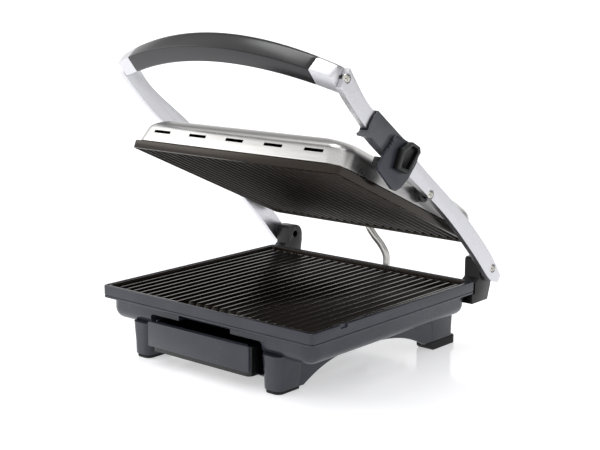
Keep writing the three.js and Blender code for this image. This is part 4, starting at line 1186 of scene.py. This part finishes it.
def arm_screws(name, body, centres, replaced):
    """Screws on both arms at the given centres, which lie on the middle plane."""
    sides = []
    for side in (1, -1):
        points = [Vector((MIDDLE_X + side * (arm_face(c.y) - mm(HEAD_SUNK)), c.y, c.z))
                  for c in centres]
        sides.append(grown(f"{name}_side", SCREWS, points, Radius=mm(HEAD_R), Height=mm(HEAD_H),
                           Turn=(CROSS_TURN, side * math.pi / 2, 0.0), Material=NICKEL))
    made = shade(join_meshes(name, sides), 40)
    finish_piece(made, body, NICKEL, replaced)


arm_screws("handle_screws", "handle", [PIVOT, CORNER_SCREW],
           ["right_pivot_bolt", "left_pivot_bolt", "right_corner_screw", "left_corner_screw"])
arm_screws("hinge_screws", "base", [HINGE], ["right_hinge_bolt", "left_hinge_bolt"])

# %% [markdown]
# ## The wire sheath
# A smooth steel sheath carries the wires from the base to the upper unit. It is one hose, but
# two joints lie between its ends, so it is made in two lengths that meet near the hinge axis.

# %% Wire sheath
SHEATH_ROUTE = [
    (9, 144.5, 54.5), (11.5, 156, 55.5), (14, 166, 63), (14, 169.5, 74), (12, 170, 85),
    (6, 168.5, 96), (-2, 165, 107), (-9, 163.5, 117.5), (-12.5, 166, 127.5), (-14, 164.4, 134.4),
    (-14, 158.9, 137.5),
]
SHEATH_R = 4.8
SHEATH_SPLIT = 0.52


def tube_along(name, points, radius, sides=20):
    """A round tube along points in metres, with closed ends."""
    rings = []
    side = Vector((1, 0, 0))
    for i, point in enumerate(points):
        ahead = (points[min(i + 1, len(points) - 1)] - points[max(i - 1, 0)]).normalized()
        side = (side - ahead * side.dot(ahead)).normalized()
        other = ahead.cross(side)
        rings.append([point + radius * (side * math.cos(a) + other * math.sin(a))
                      for a in (2 * math.pi * k / sides for k in range(sides))])
    return loft(name, rings)


def sheath(name, start, end, steps):
    """A length of the sheath between two shares of its route."""
    shares = [start + (end - start) * i / steps for i in range(steps + 1)]
    points = [from_base(*along(SHEATH_ROUTE, share)) for share in shares]
    return shade(tube_along(name, points, mm(SHEATH_R)), 50), points


lower_sheath, lower_points = sheath("lower_sheath", 0.0, SHEATH_SPLIT, 60)
upper_sheath, upper_points = sheath("upper_sheath", SHEATH_SPLIT, 1.0, 60)
for obj, ends, points, node in [(lower_sheath, ("base", "handle"), lower_points, "conduit_lower"),
                                (upper_sheath, ("handle", "upper"), upper_points, "conduit_upper")]:
    obj.data.materials.append(SHEATH)
    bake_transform(obj)
    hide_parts(node)
    print(obj.name, "has", len(obj.data.polygons), "faces")

# %% [markdown]
# ## Pieces that keep their CAD shape
# The remaining pieces are right as they are and only need soft edges and their materials. The
# list below names each with the width of its rounding in millimetres, and SIDE stands for right
# and left.

# %% Softened pieces
SOFTENED = [
    ("drip_tray", "tray", TRAY_BLACK, "black_plastic", 0.7),
    ("drip_tray_front", "tray", POLYAMIDE, "housing_plastic", 0.8),
    ("SIDE_hinge_post", "base", POLYAMIDE_BLACK, "black_plastic", 1.0),
    ("SIDE_front_foot_pad", "base", SILICONE, "rubber", 0.6),
    ("SIDE_rear_foot", "base", SILICONE, "rubber", 0.8),
    ("service_cover", "base", ZINC, "plated_sheet", 0.4),
    ("SIDE_tray_runner", "base", ZINC, "plated_sheet", 0.3),
    ("mains_inlet_gland", "base", POLYAMIDE_BLACK, "black_plastic", 0.4),
    ("conduit_grommet_lower", "base", SILICONE, "rubber", 0.5),
    ("conduit_grommet_upper", "upper", SILICONE, "rubber", 0.5),
    ("slider_guide_sleeve", "handle", GUIDE_POLYAMIDE, "housing_plastic", 0.7),
    ("height_slider", "slider", POLYAMIDE, "housing_plastic", 0.7),
    ("slider_thumb_grip", "slider", POLYAMIDE_BLACK, "black_plastic", 0.5),
    ("slider_foot", "slider", POLYAMIDE_BLACK, "black_plastic", 0.5),
    ("SIDE_pivot_spacer", "upper", POLYAMIDE_BLACK, "black_plastic", 0.7),
    ("SIDE_pivot_lug", "upper", CAST_ALLOY, "cast_alloy", 0.6),
]
for pattern, body, material, slot_name, width in SOFTENED:
    for side in ("right", "left") if "SIDE" in pattern else ("",):
        node = pattern.replace("SIDE", side)
        finish_piece(softened(node, f"{node}_soft", width), body, material, [node])

# %% [markdown]
# The pieces inside are hidden while the press is whole. They keep their CAD mesh and just get a
# material: plated steel for the heating elements and the shield, ceramic for the electrics.

# %% Hidden pieces
HIDDEN = {
    CAST_ALLOY: ["handle_inner_bar"],
    ZINC: ["lower_heating_element", "upper_heating_element", "upper_heat_shield"],
    CERAMIC: ["lower_thermostat", "upper_thermostat", "terminal_block"],
    NICKEL: ["lower_thermal_fuse", "upper_thermal_fuse"] + [
        f"cover_screw_{i}" for i in range(1, 5)],
}
for material, hidden_nodes in HIDDEN.items():
    for node in hidden_nodes:
        nodes[node].data.materials.clear()
        nodes[node].data.materials.append(material)
print(sum(len(v) for v in HIDDEN.values()), "pieces keep their CAD mesh")

# %% [markdown]
# ## Floor and light
# The press stands on a wide pale table of satin acrylic. It is a little self-lit, which keeps it
# white out to the horizon, and its faint gloss mirrors the feet softly.

# %% Floor
FLOOR_HALF = 60
floor = mesh_object("white_table", [(-FLOOR_HALF, -FLOOR_HALF, 0), (FLOOR_HALF, -FLOOR_HALF, 0),
                                    (FLOOR_HALF, FLOOR_HALF, 0), (-FLOOR_HALF, FLOOR_HALF, 0)],
                    [(0, 1, 2, 3)])
paper, paper_tree, paper_shader = new_material("white_acrylic_table", "e9e9ec", 0.14)
two_tones(paper_tree, paper_shader, grain(paper_tree, 900, detail=1), "e6e6e9", "ececef")
paper_shader.inputs["Emission Color"].default_value = (1, 1, 1, 1)
paper_shader.inputs["Emission Strength"].default_value = 0.45
floor.data.materials.append(paper)
print("table is", 2 * FLOOR_HALF, "m wide")

# %% [markdown]
# Most of the light comes from a white sky all round. Metal and dark plastic only look right when
# they mirror something darker too, so the ceiling behind the press is grey, and a soft dim flag
# stands at the rear right. Both fade in smoothly, so no hard edge shows in the steel.

# %% Sky
CEILING_DIMMED = 0.7
FLAG_TOWARDS = Vector((0.45, 0.85, 0.25)).normalized()
FLAG_DIMMED = 0.62


def studio_sky():
    """A white sky whose ceiling behind the press is grey, with a dim flag at the rear right."""
    sky = bpy.data.worlds.new("white_studio")
    sky.use_nodes = True
    tree = sky.node_tree
    ahead = add(tree, "ShaderNodeTexCoord").outputs["Generated"]
    parts = add(tree, "ShaderNodeSeparateXYZ", {0: ahead})
    high = add(tree, "ShaderNodeMapRange", {"Value": parts.outputs["Z"]},
               interpolation_type="SMOOTHSTEP", From_Min=0.28, From_Max=0.46)
    behind = add(tree, "ShaderNodeMapRange", {"Value": parts.outputs["Y"]},
                 interpolation_type="SMOOTHSTEP", From_Min=0.0, From_Max=0.35)
    ceiling = add(tree, "ShaderNodeMath", {0: high, 1: behind}, operation="MULTIPLY")
    near_flag = add(tree, "ShaderNodeVectorMath", {0: ahead, 1: FLAG_TOWARDS},
                    operation="DOT_PRODUCT")
    flag = add(tree, "ShaderNodeMapRange", {"Value": near_flag.outputs["Value"]},
               interpolation_type="SMOOTHSTEP", From_Min=0.84, From_Max=0.95)
    level = 1.0
    for shape, dimmed in [(ceiling, CEILING_DIMMED), (flag, FLAG_DIMMED)]:
        loss = add(tree, "ShaderNodeMath", {0: shape, 1: dimmed}, operation="MULTIPLY")
        left = add(tree, "ShaderNodeMath", {0: 1.0, 1: loss}, operation="SUBTRACT")
        level = add(tree, "ShaderNodeMath", {0: level, 1: left}, operation="MULTIPLY")
    backdrop = tree.nodes["Background"]
    tree.links.new(level.outputs[0], backdrop.inputs["Color"])
    backdrop.inputs["Strength"].default_value = 1.1
    return sky


scene.world = studio_sky()
print("sky has", len(scene.world.node_tree.nodes), "nodes")

# %% [markdown]
# Two large soft lamps add direction: one from above, which draws the long highlights on the grip
# and the ribs, and a weaker one from the left, which lifts the front of the housing.

# %% Lamps
def softbox(name, place_at, size, power):
    """A rectangular area lamp that looks at the middle of the press."""
    lamp = bpy.data.lights.new(name, "AREA")
    lamp.energy = power
    lamp.shape = "RECTANGLE"
    lamp.size = size[0]
    lamp.size_y = size[1]
    obj = bpy.data.objects.new(name, lamp)
    obj.location = place_at
    aim = Vector((MIDDLE_X, MIDDLE_Y, 0.15)) - Vector(place_at)
    obj.rotation_euler = aim.to_track_quat("-Z", "Y").to_euler()
    scene.collection.objects.link(obj)


softbox("top_softbox", (-0.4, 0.2, 2.2), (1.2, 0.8), 14)
softbox("left_softbox", (-1.9, -1.1, 1.3), (1.4, 1.0), 8)
scene.view_settings.view_transform = "Standard"
print("studio ready")
